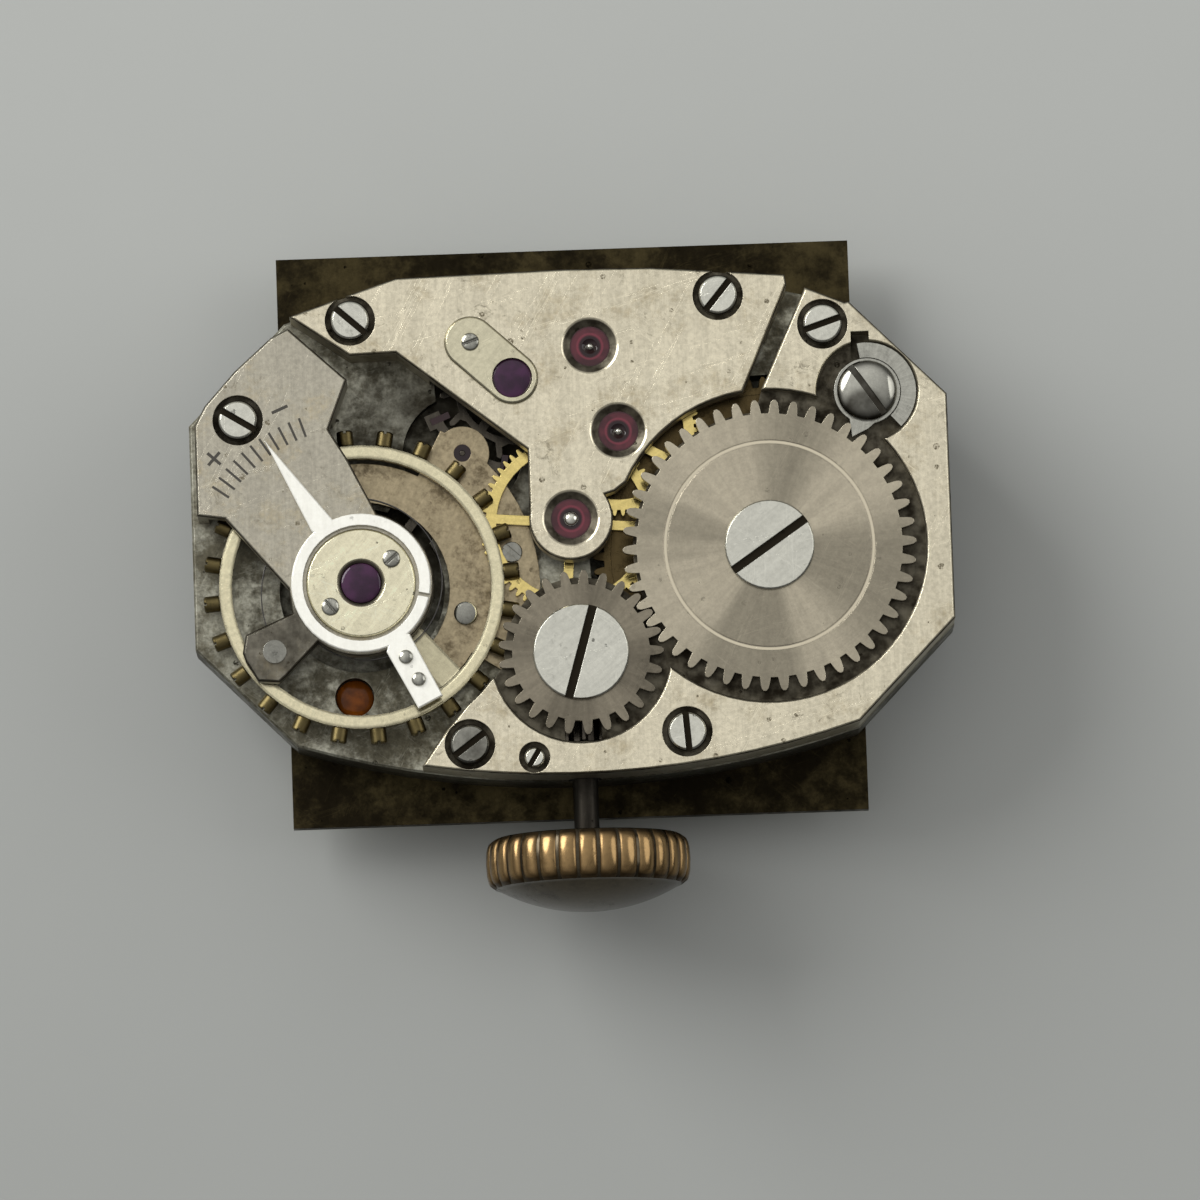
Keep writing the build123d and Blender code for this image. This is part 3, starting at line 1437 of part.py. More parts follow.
def cap_jewels():
    """The polished stones over the upper pivots of the balance and the escape wheel."""
    escape_stone = disc(escape, jewel_radius, bridge_top, bridge_top + cap_plate_thickness)
    balance_stone = disc(balance, jewel_radius, bridge_top, bridge_top + end_piece_thickness - level_gap / 2)
    return [escape_stone, balance_stone]


def bridge_screws():
    screws = []
    low = bridge_top - screw_seat_depth
    places = bridge_screw_shares + [cock_screw_share]
    angles = bridge_screw_slot_angles + [cock_screw_slot_angle]
    for share, angle in zip(places, angles):
        screws.append(screw(at(share), screw_head_radius, low, low + screw_head_height,
                            screw_shank_radius, screw_low, angle))
    return screws


def cap_screws():
    screws = []
    height = cap_screw_head_radius / 2
    low = bridge_top + end_piece_thickness
    for place in end_piece_screw_places():
        screws.append(screw(place, cap_screw_head_radius, low, low + height, cap_shank_radius,
                            cock_under + level_gap, click_slot_angle))
    cap_low = bridge_top + cap_plate_thickness
    screws.append(screw(at(escape_cap_screw_share), cap_screw_head_radius, cap_low, cap_low + height,
                        cap_shank_radius, bridge_under + level_gap, ratchet_slot_angle))
    return screws


def steady_pins():
    low = split - steady_pin_length / 2
    return [disc(at(share), steady_pin_radius, low, low + steady_pin_length) for share in steady_pin_shares]


def write(name, shape):
    """Write one node, as a single solid or as a group of separate solids."""
    solids = []
    for piece in shape if isinstance(shape, list) else [shape]:
        solids.extend(piece.solids())
    whole = solids[0] if len(solids) == 1 else Compound(children=solids)
    export_step(whole, "parts/" + name + ".step")


makers = [
    main_plate, barrel_bridge, train_bridge, balance_cock, pallet_bridge, dial,
    barrel_drum, barrel_cover, mainspring, barrel_arbor, centre_wheel, centre_pinion,
    third_wheel, third_pinion, fourth_wheel, fourth_pinion, escape_wheel, escape_pinion,
    pallet_fork, pallet_staff, pallet_stones, balance_wheel, balance_rim_screws, balance_staff,
    roller, impulse_jewel, hairspring_collet, hairspring, hairspring_stud, end_piece_plate,
    escape_cap_plate, cap_jewels, cap_screws, regulator, curb_pins,
    ratchet_wheel, ratchet_screw, crown_wheel, crown_wheel_seat, crown_wheel_screw,
    click, click_screw, click_spring, crown, winding_stem, winding_pinion, sliding_pinion,
    setting_lever, setting_lever_screw, setting_lever_spring, yoke, small_plate_screws,
    cannon_pinion, hour_wheel, minute_wheel, setting_wheel,
    upper_jewels, lower_jewels, bridge_screws, steady_pins,
]
for maker in makers:
    write(maker.__name__, maker())
print("least gap between turns of the hairspring:", round(least_gap(), 3), "mm")
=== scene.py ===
import math

import bmesh
import bpy
from bpy.props import FloatProperty, FloatVectorProperty, IntProperty, PointerProperty
from bpy.types import Operator, Panel, PropertyGroup
from mathutils import Matrix, Vector


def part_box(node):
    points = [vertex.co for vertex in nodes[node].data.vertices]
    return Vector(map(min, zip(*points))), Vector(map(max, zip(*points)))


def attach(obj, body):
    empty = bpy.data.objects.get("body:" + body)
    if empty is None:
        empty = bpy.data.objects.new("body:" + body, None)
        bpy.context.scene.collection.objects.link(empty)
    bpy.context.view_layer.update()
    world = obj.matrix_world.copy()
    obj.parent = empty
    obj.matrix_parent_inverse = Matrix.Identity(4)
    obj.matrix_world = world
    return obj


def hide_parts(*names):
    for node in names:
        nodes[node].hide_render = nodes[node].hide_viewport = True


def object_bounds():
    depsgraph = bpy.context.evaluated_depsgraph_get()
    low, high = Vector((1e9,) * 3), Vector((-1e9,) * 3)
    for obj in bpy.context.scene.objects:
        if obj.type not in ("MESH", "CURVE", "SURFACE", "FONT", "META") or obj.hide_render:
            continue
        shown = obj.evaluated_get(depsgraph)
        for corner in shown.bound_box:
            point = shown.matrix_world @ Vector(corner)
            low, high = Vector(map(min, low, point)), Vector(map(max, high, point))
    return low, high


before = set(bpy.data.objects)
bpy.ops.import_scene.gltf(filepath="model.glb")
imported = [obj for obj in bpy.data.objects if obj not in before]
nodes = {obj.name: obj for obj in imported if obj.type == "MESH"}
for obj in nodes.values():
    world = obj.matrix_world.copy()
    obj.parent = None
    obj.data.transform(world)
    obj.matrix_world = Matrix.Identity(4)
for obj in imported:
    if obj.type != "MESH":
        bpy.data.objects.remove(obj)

bl_info = {
    "name": "Watch movement finish",
    "version": (1, 0, 0),
    "blender": (4, 5, 0),
    "location": "View3D > Sidebar > Movement",
    "description": "Finishes for a small tonneau watch movement, piece by piece",
    "category": "Object",
}

MM = 0.001
cad_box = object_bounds()


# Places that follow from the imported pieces
def middle(name):
    """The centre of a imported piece's box."""
    low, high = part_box(name)
    return (low + high) / 2


def top(name):
    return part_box(name)[1].z


def bottom(name):
    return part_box(name)[0].z


def radius_of(name):
    low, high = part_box(name)
    return (high.x - low.x) / 2


def centres(name):
    """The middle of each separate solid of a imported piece, by its top, with its highest point as Z."""
    form = bmesh.new()
    form.from_mesh(nodes[name].data)
    bmesh.ops.remove_doubles(form, verts=form.verts, dist=MM * MM)
    left = set(form.verts)
    found = []
    while left:
        open_ends = [left.pop()]
        low, high = open_ends[0].co.copy(), open_ends[0].co.copy()
        while open_ends:
            corner = open_ends.pop()
            for axis in range(3):
                low[axis] = min(low[axis], corner.co[axis])
                high[axis] = max(high[axis], corner.co[axis])
            for edge in corner.link_edges:
                other = edge.other_vert(corner)
                if other in left:
                    left.remove(other)
                    open_ends.append(other)
        found.append(Vector(((low.x + high.x) / 2, (low.y + high.y) / 2, high.z)))
    form.free()
    # Highest first, and from left to right where heights are the same
    return sorted(found, key=lambda place: (-round(place.z, 7), place.x, place.y))


BALANCE = middle("balance_staff")
RATCHET = middle("ratchet_screw")
CROWN_WHEEL = middle("crown_wheel_seat")
CLICK = middle("click_screw")
BRIDGE_TOP = top("train_bridge")
CROWN = middle("crown")
CROWN_REACH = (top("crown") - bottom("crown")) / 2
# The radius of the ratchet wheel's turned ring, which gets a painted highlight
RING = 0.71 * radius_of("ratchet_wheel") / MM
# The bridge screw that is darkened round its head
DARKENED_SCREW = min(centres("bridge_screws"), key=lambda place: place.x + 2 * place.y)


# Sizes and colours that a user would change
def length(label, text, default):
    return FloatProperty(name=label, description=text, default=default, min=0.0, precision=5,
                         subtype="DISTANCE", unit="LENGTH")


def amount_of(label, text, default, least, most):
    """A whole number or a plain one, as its default is."""
    kind = IntProperty if isinstance(default, int) else FloatProperty
    return kind(name=label, description=text, default=default, min=least, max=most)


def colour(label, text, default):
    return FloatVectorProperty(name=label, description=text, default=default, min=0.0, max=1.0,
                               subtype="COLOR")


class MovementSizes(PropertyGroup):
    """Sizes of the pieces made here."""

    rib_count: amount_of("Crown ribs", "Ribs round the crown", 30, 8, 90)
    rib_width: length("Rib width", "Width of one rib of the crown", 0.415 * MM)
    rib_height: length("Rib height", "Height of the crown's ribs", 0.075 * MM)
    band_share: amount_of("Ribbed share", "Share of the crown's length that has ribs", 0.67, 0.2, 0.9)
    rim_screw_count: amount_of("Rim screws", "Screws round the balance rim", 24, 4, 40)
    coil_turns: amount_of("Hairspring turns", "Turns of the hairspring", 11.0, 3.0, 16.0)
    strip_width: length("Strip width", "Thickness of the hairspring's strip", 0.028 * MM)
    tick_count: amount_of("Index ticks", "Ticks of the regulator's scale", 11, 3, 31)
    tick_length: length("Tick length", "Length of one tick of the scale", 0.46 * MM)
    tick_width: length("Tick width", "Width of one tick of the scale", 0.055 * MM)
    camera_distance: length("Camera distance", "From the camera to the bridges", 0.25)
    view_width: length("View width", "Width of the view at the bridges", 27.49 * MM)


class MovementColours(PropertyGroup):
    """Colours of the finishes."""

    nickel: colour("Nickel", "Clean nickel of the bridges", (0.80, 0.73, 0.55))
    nickel_stain: colour("Nickel stain", "Tarnish on the bridges", (0.49, 0.42, 0.28))
    cock: colour("Balance cock", "Duller nickel of the balance cock", (0.51, 0.475, 0.38))
    plate: colour("Plate", "Clean metal of the main plate", (0.46, 0.45, 0.365))
    plate_stain: colour("Plate stain", "Tarnish on the main plate", (0.12, 0.11, 0.078))
    aged: colour("Aged nickel", "The brown crescent under the balance", (0.43, 0.355, 0.225))
    aged_stain: colour("Aged stain", "Tarnish on the crescent", (0.16, 0.125, 0.075))
    dial: colour("Dial back", "Dark brass of the dial's back", (0.060, 0.047, 0.021))
    dial_stain: colour("Dial stain", "Tarnish on the dial's back", (0.014, 0.011, 0.006))
    dial_front: colour("Dial front", "Enamel of the dial's front", (0.78, 0.74, 0.62))
    brass: colour("Yellow brass", "Wheels of the train", (0.88, 0.70, 0.26))
    # The barrel: tarnished brass, darkened further as painted shade under the bridges
    old_brass: colour("Old brass", "The barrel", (0.10, 0.072, 0.032))
    # Rim screws: dirty brass, darkened further as painted shade
    rim_brass: colour("Rim brass", "The screws round the balance", (0.125, 0.098, 0.042))
    gilt: colour("Gilt", "The cap plates", (0.72, 0.67, 0.48))
    pale_gold: colour("Pale gold", "The balance", (0.86, 0.785, 0.53))
    steel: colour("Polished steel", "Screws and levers", (0.71, 0.70, 0.61))
    white_steel: colour("White steel", "The regulator", (1.0, 0.985, 0.89))
    # Steel of the escapement and pinions under the bridges, darkened as painted shade
    dark_steel: colour("Dark steel", "The stem and the escapement", (0.085, 0.075, 0.06))
    winding: colour("Ratchet wheel", "Turned steel of the ratchet wheel", (0.43, 0.385, 0.29))
    winding_dark: colour("Crown wheel", "Darker steel of the crown wheel", (0.25, 0.22, 0.165))
    spring: colour("Spring steel", "The hairspring", (0.10, 0.095, 0.090))
    rose: colour("Rose gold", "The crown", (0.30, 0.195, 0.088))
    # The crown's end: darkened as painted shade and a painted dark reflection, not by wear
    crown_dome: colour("Crown end", "The worn end of the crown", (0.070, 0.057, 0.038))
    ruby: colour("Ruby", "Bearing jewels", (0.098, 0.015, 0.024))
    cap_ruby: colour("Cap jewel", "Jewels over the pivots", (0.055, 0.012, 0.050))
    # Old oil and painted shade: the colour that darkens slots, recesses, grooves, bevels and upright walls
    grime_and_shade: colour("Grime", "Old oil in slots and corners", (0.022, 0.018, 0.012))
    # The crown's grooves: brown old oil and painted shade between the ribs
    crown_grime_and_shade: colour("Crown grime", "Brown dirt between the crown's ribs", (0.030, 0.019, 0.009))
    amber: colour("Amber", "The stone in the plate under the balance", (0.32, 0.085, 0.006))
    engraving: colour("Engraving", "The regulator's scale", (0.045, 0.040, 0.030))
    ink: colour("Ink", "The minute track on the dial's front", (0.03, 0.03, 0.032))
    floor: colour("Floor", "The floor under the movement", (0.40, 0.41, 0.39))


# Node trees
class Nodes:
    """Adds nodes to a tree and links them."""

    def __init__(self, tree):
        self.tree = tree

    def feed(self, socket, value):
        """Link a socket to another, or give it a plain value, of three parts if it's a colour."""
        if isinstance(value, bpy.types.NodeSocket):
            self.link(value, socket)
        elif socket.type == "RGBA":
            socket.default_value = (value[0], value[1], value[2], 1.0)
        else:
            socket.default_value = value

    def wire(self, node, inputs):
        for key, value in inputs.items():
            self.feed(node.inputs[key], value)

    def add(self, kind, inputs=None, **settings):
        made = self.tree.nodes.new(kind)
        for key, value in settings.items():
            setattr(made, key, value)
        self.wire(made, inputs or {})
        return made

    def first(self, kind, inputs=None, **settings):
        """The first output of a new node."""
        return self.add(kind, inputs, **settings).outputs[0]

    def link(self, start, end):
        self.tree.links.new(start, end)

    def maths(self, operation, first, second=0.0):
        return self.first("ShaderNodeMath", {0: first, 1: second}, operation=operation)

    def times(self, first, second):
        return self.maths("MULTIPLY", first, second)

    def plus(self, first, second):
        return self.maths("ADD", first, second)

    def minus(self, first, second):
        return self.maths("SUBTRACT", first, second)

    def apart(self, first, second):
        """The difference of two values, without its sign."""
        return self.maths("ABSOLUTE", self.minus(first, second))

    def split(self, vector):
        return self.add("ShaderNodeSeparateXYZ", {0: vector}).outputs

    def vector(self, operation, first, second=(0.0, 0.0, 0.0)):
        made = self.add("ShaderNodeVectorMath", {0: first, 1: second}, operation=operation)
        return made.outputs["Value" if operation in ("LENGTH", "DOT_PRODUCT", "DISTANCE") else "Vector"]

    def joined(self, x=0.0, y=0.0, z=0.0):
        return self.first("ShaderNodeCombineXYZ", {"X": x, "Y": y, "Z": z})

    def mapped(self, value, low, high, to_low=0.0, to_high=1.0):
        inputs = {"Value": value, "From Min": low, "From Max": high, "To Min": to_low, "To Max": to_high}
        return self.add("ShaderNodeMapRange", inputs, interpolation_type="SMOOTHSTEP").outputs["Result"]

    def mixed(self, share, first, second, blend="MIX"):
        made = self.add("ShaderNodeMix", data_type="RGBA", blend_type=blend)
        for key, value in (("Factor", share), ("A", first), ("B", second)):
            self.feed([socket for socket in made.inputs if socket.name == key and socket.enabled][0], value)
        return [socket for socket in made.outputs if socket.enabled][0]

    def shaded(self, tint, shade):
        """A colour times a grey value."""
        return self.mixed(1.0, tint, self.joined(shade, shade, shade), "MULTIPLY")

    def here(self):
        return self.add("ShaderNodeTexCoord").outputs["Object"]

    def away(self, place, spot, across=(1.0, 1.0, 0.0)):
        """The distance from a spot, seen along the axis that is left out."""
        offset = self.vector("SUBTRACT", place, tuple(spot))
        return self.vector("LENGTH", self.vector("MULTIPLY", offset, across))

    def noise(self, vector, scale, detail=4.0, roughness=0.6):
        inputs = {"Vector": vector, "Scale": scale, "Detail": detail, "Roughness": roughness}
        return self.first("ShaderNodeTexNoise", inputs)

    def group(self, tree, inputs):
        return self.add("ShaderNodeGroup", inputs, node_tree=tree).outputs


def node_group(name, kind, inputs, outputs):
    """A new node group; inputs are name to kind and default, outputs are name to kind."""
    tree = bpy.data.node_groups.new(name, kind)
    for label, (socket_kind, default) in inputs.items():
        socket = tree.interface.new_socket(name=label, in_out="INPUT", socket_type="NodeSocket" + socket_kind)
        if default is not None:
            socket.default_value = default
    for label, socket_kind in outputs.items():
        tree.interface.new_socket(name=label, in_out="OUTPUT", socket_type="NodeSocket" + socket_kind)
    work = Nodes(tree)
    return tree, work, work.add("NodeGroupInput").outputs, work.add("NodeGroupOutput").inputs


def straight_grain():
    """Fine parallel brush lines along Y: a height and a streak mask."""
    tree, work, source, result = node_group(
        "straight grain", "ShaderNodeTree",
        {"Position": ("Vector", None), "Fineness": ("Float", 14.0), "Stretch": ("Float", 18.0)},
        {"Height": "Float", "Streak": "Float"})
    along = work.maths("DIVIDE", source["Fineness"], source["Stretch"])
    scale = work.joined(source["Fineness"], along, source["Fineness"])
    place = work.vector("MULTIPLY", source["Position"], scale)
    fine = work.noise(place, 1.0, 5.0, 0.7)
    wide = work.noise(work.vector("MULTIPLY", place, (0.23, 0.6, 0.23)), 1.0, 3.0, 0.6)
    work.link(fine, result["Height"])
    both = work.times(work.plus(fine, wide), 0.5)
    work.link(work.mapped(both, 0.36, 0.64), result["Streak"])
    return tree


def turned_grain():
    """Rings and rays round the origin: a height, a ray mask, broad wedges of painted reflection and the
    distance.
    """
    tree, work, source, result = node_group(
        "turned grain", "ShaderNodeTree",
        {"Position": ("Vector", None), "Rings": ("Float", 16.0), "Rays": ("Float", 14.0)},
        {"Height": "Float", "Ray": "Float", "Sector": "Float", "Distance": "Float"})
    flat = work.vector("MULTIPLY", source["Position"], (1.0, 1.0, 0.0))
    distance = work.vector("LENGTH", flat)
    around = work.add("ShaderNodeVectorMath", {0: flat}, operation="NORMALIZE").outputs["Vector"]
    split = work.split(around)
    drift = 0.8
    rings = work.joined(work.times(distance, source["Rings"]),
                        work.times(split["X"], drift), work.times(split["Y"], drift))
    work.link(work.noise(rings, 1.0, 3.0, 0.6), result["Height"])
    rays = work.joined(work.times(split["X"], source["Rays"]), work.times(split["Y"], source["Rays"]),
                       work.times(distance, 0.35))
    work.link(work.mapped(work.noise(rays, 1.0, 4.0, 0.65), 0.25, 0.75), result["Ray"])
    # Painted reflection: bright and dark wedges, waves of four times the angle, with one slow wave
    uneven = work.noise(work.vector("MULTIPLY", around, (1.25, 1.25, 1.25)), 1.0, 2.0, 0.5)
    crossed = work.times(split["X"], split["Y"])
    spread = work.minus(work.times(split["X"], split["X"]), work.times(split["Y"], split["Y"]))
    cosine = work.minus(1.0, work.times(work.times(crossed, crossed), 8.0))
    sine = work.times(work.times(crossed, spread), 4.0)
    wedge = work.plus(work.times(cosine, -0.14), work.times(sine, 0.24))
    # Painted shade: darker towards the lower right, away from the light
    wedge = work.plus(wedge, work.times(work.minus(split["Y"], split["X"]), 0.10))
    work.link(work.mapped(work.plus(wedge, uneven), 0.2, 0.8), result["Sector"])
    work.link(distance, result["Distance"])
    return tree


def tarnish():
    """Cloudy stains: a colour between clean and stained metal, and the mask."""
    tree, work, source, result = node_group(
        "tarnish", "ShaderNodeTree",
        {"Position": ("Vector", None), "Clean": ("Color", (0.6, 0.6, 0.6, 1.0)),
         "Stain": ("Color", (0.3, 0.3, 0.3, 1.0)), "Scale": ("Float", 0.9), "Amount": ("Float", 0.5)},
        {"Color": "Color", "Mask": "Float"})
    cloud_share = 0.72
    softness = 0.20
    cloud = work.noise(source["Position"], source["Scale"], 8.0, 0.68)
    fine = work.noise(source["Position"], work.times(source["Scale"], 7.0), 6.0, 0.7)
    both = work.plus(work.times(cloud, cloud_share), work.times(fine, 1 - cloud_share))
    # No stains above this value, and most of the metal under them with a full amount
    threshold = work.minus(0.72, work.times(source["Amount"], 0.42))
    mask = work.mapped(both, threshold, work.plus(threshold, softness))
    work.link(mask, result["Mask"])
    work.link(work.mixed(mask, source["Clean"], source["Stain"]), result["Color"])
    return tree


def rounded_edge():
    """Rounded normals at the edges, and a mask of the edges: wear lightens them where a metal's bright is
    positive, painted shade darkens them where it is negative.
    """
    tree, work, source, result = node_group(
        "worn edge", "ShaderNodeTree", {"Radius": ("Float", 0.02 * MM)},
        {"Normal": "Vector", "Mask": "Float"})
    bevel = work.add("ShaderNodeBevel", {"Radius": source["Radius"]}, samples=4)
    flat = work.add("ShaderNodeNewGeometry").outputs["Normal"]
    same = work.vector("DOT_PRODUCT", bevel.outputs[0], flat)
    work.link(bevel.outputs[0], result["Normal"])
    work.link(work.mapped(same, 0.995, 0.90), result["Mask"])
    return tree


def marks():
    """Pits and specks, fine crossing scratches and dark scuffs, as masks."""
    tree, work, source, result = node_group(
        "marks", "ShaderNodeTree",
        {"Position": ("Vector", None), "Specks": ("Float", 0.5), "Scratches": ("Float", 0.5)},
        {"Specks": "Float", "Scratches": "Float", "Scuffs": "Float"})
    cells = work.add("ShaderNodeTexVoronoi", {"Vector": source["Position"], "Scale": 3.2}, feature="F1")
    chance = work.first("ShaderNodeSeparateColor", {0: cells.outputs["Color"]})
    # Few large specks and many small ones
    size = work.times(work.maths("POWER", chance, 5.0), 0.26)
    dot = work.maths("LESS_THAN", cells.outputs["Distance"], size)
    soft = work.noise(source["Position"], 22.0, 3.0, 0.6)
    specks = work.times(work.times(dot, work.mapped(soft, 0.35, 0.6)), source["Specks"])
    work.link(specks, result["Specks"])
    torn = work.first("ShaderNodeTexNoise", {"Vector": source["Position"], "Scale": 2.6, "Detail": 9.0,
                                           "Roughness": 0.78, "Distortion": 0.7})
    where = work.mapped(work.noise(source["Position"], 0.7, 3.0, 0.6), 0.44, 0.62)
    work.link(work.times(work.mapped(torn, 0.56, 0.64), where), result["Scuffs"])
    total = None
    # Scratches in three directions, each with its own part of the noise
    for turn, seed in ((0.5, 3.1), (-0.9, 7.7), (1.3, 12.3)):
        turned = work.first("ShaderNodeVectorRotate", {"Vector": source["Position"], "Angle": turn},
                          rotation_type="Z_AXIS")
        place = work.vector("ADD", work.vector("MULTIPLY", turned, (9.0, 0.42, 9.0)), (seed, seed, seed))
        line = work.noise(place, 1.0, 2.0, 0.5)
        thin = work.mapped(work.apart(line, 0.5), 0.012, 0.0)
        where = work.mapped(work.noise(place, 0.31, 1.0, 0.5), 0.52, 0.62)
        scratch = work.times(thin, where)
        total = scratch if total is None else work.maths("MAXIMUM", total, scratch)
    work.link(work.times(total, source["Scratches"]), result["Scratches"])
    return tree


groups = {}


def shared(maker):
    """What a maker of a node group gives, made once."""
    if maker not in groups:
        groups[maker] = maker()
    return groups[maker]


def faded(tint, share):
    """A darker or lighter tint of a colour."""
    return [min(1.0, part * share) for part in tint]


def tint_of(name, share=1.0):
    """A colour of the panel, darker or lighter."""
    return faded(getattr(bpy.context.scene.movement_colours, name), share)


def millimetres(work, centre=(0.0, 0.0, 0.0), turn=0.0):
    """Object coordinates in millimetres from a centre, turned about Z."""
    scale = 1 / MM
    back = Matrix.Rotation(turn, 3, "Z") @ Vector(centre) * -scale
    mapping = work.add("ShaderNodeMapping", {"Vector": work.here(), "Location": tuple(back),
                                             "Rotation": (0.0, 0.0, turn), "Scale": (scale, scale, scale)})
    return mapping.outputs[0]


def surface(name):
    """A new material, the maker of its nodes and its shader."""
    material = bpy.data.materials.new(name)
    material.use_nodes = True
    return material, Nodes(material.node_tree), material.node_tree.nodes["Principled BSDF"]


def metal(name, clean, stain, roughness, level=None, grain="straight", centre=(0.0, 0.0, 0.0), turn=0.0,
          fineness=14.0, stretch=18.0, streaks=0.35, painted_sheen=0.0, depth=1.4, cloud=0.9, amount=0.5, grit=0.12,
          specks=0.5, scratches=0.5, scuffs=0.0, edge=0.02, bright=0.3, ring=None, fade=0.06, groove=None,
          grime_and_shade_strength=0.9, shade_and_dirt_spot=None, painted_wall_shade=0.0, metallic=1.0, dirt_and_shade="grime_and_shade"):
    """A worked metal, with lengths in millimetres where nothing else is said.

    grain, centre and turn lay the brush lines or turned rings; fineness and stretch are the lines' number in
    a millimetre and their length; streaks, painted_sheen (painted reflection) and depth their contrast and
    their bump in micrometres.
    cloud and amount are the scale and strength of the tarnish, grit, specks, scratches and scuffs the marks.
    edge and bright are the width of the edges and how much wear lightens them, where bright is negative how
    much painted shade darkens them as on a rounded surface; ring is the radius of a painted highlight line.
    Old oil and painted shade darken from fade under the level (metres) down, or in a groove (an axis and two
    radii in metres), grime_and_shade_strength strong, in the colour dirt_and_shade names; darker round
    shade_and_dirt_spot (a spot and a radius in metres); and painted shade on upright walls,
    painted_wall_shade strong.
    """
    material, work, shader = surface(name)
    place = millimetres(work, centre, turn)
    cloudy = work.group(shared(tarnish), {"Position": place, "Clean": clean, "Stain": stain,
                                          "Scale": cloud, "Amount": amount})
    base = cloudy["Color"]
    if grain == "turned":
        lines = work.group(shared(turned_grain), {"Position": place, "Rings": fineness, "Rays": stretch})
        streak = lines["Ray"]
        # Painted reflection of the turned rings: bright and dark wedges round the centre
        if painted_sheen:
            base = work.shaded(base, work.mapped(lines["Sector"], 0.0, 1.0, 1.0 - painted_sheen, 1.0 + painted_sheen))
    else:
        lines = work.group(shared(straight_grain),
                           {"Position": place, "Fineness": fineness, "Stretch": stretch})
        streak = lines["Streak"]
    base = work.shaded(base, work.mapped(streak, 0.0, 1.0, 1.0 - streaks / 2, 1.0 + streaks / 2))
    grains = work.noise(place, 9.0, 6.0, 0.75)
    base = work.shaded(base, work.mapped(grains, 0.25, 0.75, 1.0 - grit, 1.0 + grit))
    worn = work.group(shared(marks), {"Position": place, "Specks": specks, "Scratches": scratches})
    dark, light, glint = faded(stain, 0.35), faded(clean, 1.25), faded(clean, 1.8)
    grime_and_shade = tint_of(dirt_and_shade)
    base = work.mixed(worn["Specks"], base, dark)
    if scuffs:
        base = work.mixed(work.times(worn["Scuffs"], scuffs), base, dark)
    base = work.mixed(work.times(worn["Scratches"], 0.6), base, light)
    rim = work.group(shared(rounded_edge), {"Radius": edge * MM})
    # Edges lightened as wear where bright is positive, darkened as painted shade of a rounded surface where
    # it is negative
    base = work.mixed(work.times(rim["Mask"], abs(bright)), base, light if bright > 0 else dark)
    rough = work.mapped(cloudy["Mask"], 0.0, 1.0, roughness[0], roughness[1])
    rough = work.plus(rough, work.times(worn["Specks"], 0.3))
    # Painted highlight: a bright line along a turned ring
    if ring:
        off = work.apart(lines["Distance"], ring)
        base = work.mixed(work.mapped(off, 0.045, 0.015), base, glint)
    # Darker round a spot: painted shade round the hairspring stud and the escapement, a painted dark
    # reflection on the click screw's lower side, and a darker patch round one bridge screw
    if shade_and_dirt_spot:
        spot, reach = shade_and_dirt_spot
        patchy = work.mapped(work.noise(place, 1.3, 4.0, 0.6), 0.3, 0.7, 0.6, 1.0)
        near = work.mapped(work.away(work.here(), spot), reach, reach * 0.6)
        base = work.mixed(work.times(near, work.times(patchy, 0.88)), base, grime_and_shade)
    facing = work.add("ShaderNodeNewGeometry").outputs["Normal"]
    flatness = work.maths("ABSOLUTE", work.split(facing)["Z"])
    # Painted shade on upright walls
    if painted_wall_shade:
        base = work.mixed(work.times(work.mapped(flatness, 0.6, 0.2), painted_wall_shade), base, grime_and_shade)
    # Painted shade and old oil: darker under the level and in the crown's grooves, so bevels below the top
    # become dark outlines
    if level is not None or groove:
        if groove:
            axis, low, high = groove
            height = work.away(work.here(), axis, (1.0, 0.0, 1.0))
        else:
            height = work.split(work.here())["Z"]
            low, high = level - fade * MM, level - fade * MM / 5
        uneven = work.mapped(work.noise(place, 2.6, 4.0, 0.6), 0.3, 0.7, 0.85, 1.0)
        deep = work.times(work.mapped(height, high, low), work.times(uneven, grime_and_shade_strength))
        if not groove:
            deep = work.times(deep, work.mapped(flatness, 0.2, 0.6, 0.5, 1.0))
        base = work.mixed(deep, base, grime_and_shade)
        rough = work.plus(rough, work.times(deep, 0.3))
    height = work.minus(lines["Height"], work.times(worn["Scratches"], 0.5))
    height = work.minus(height, worn["Specks"])
    bump = work.first("ShaderNodeBump", {"Height": height, "Distance": depth * MM * MM, "Strength": 1.0,
                                         "Normal": rim["Normal"]})
    work.wire(shader, {"Base Color": base, "Roughness": rough, "Normal": bump, "Metallic": metallic})
    return material


def stone(name, tint, clear, index, places=()):
    """A polished synthetic stone, nearly black in the oil cups round its places."""
    material, work, shader = surface(name)
    place = millimetres(work)
    cloud = work.mapped(work.noise(place, 2.4, 3.0, 0.5), 0.35, 0.65)
    base = work.mixed(cloud, tint, faded(tint, 0.45))
    nearest = None
    for spot in places:
        away = work.away(place, spot / MM)
        nearest = away if nearest is None else work.maths("MINIMUM", nearest, away)
    if places:
        # The cup's lip catches the light, its middle is dark, and the stone's rim lies in shade
        lip, cup, rim = 0.29, 0.27, 0.40
        line = work.mapped(work.apart(nearest, lip), 0.035, 0.01)
        base = work.mixed(work.times(line, 0.5), base, faded(tint, 2.4))
        base = work.mixed(work.mapped(nearest, cup, cup - 0.05), base, faded(tint, 0.12))
        base = work.mixed(work.mapped(nearest, rim, rim + 0.07), base, faded(tint, 0.3))
    rough = work.mapped(work.noise(place, 9.0, 2.0, 0.5), 0.4, 0.7, 0.04, 0.12)
    work.wire(shader, {"Base Color": base, "Roughness": rough, "IOR": index, "Transmission Weight": clear})
    return material


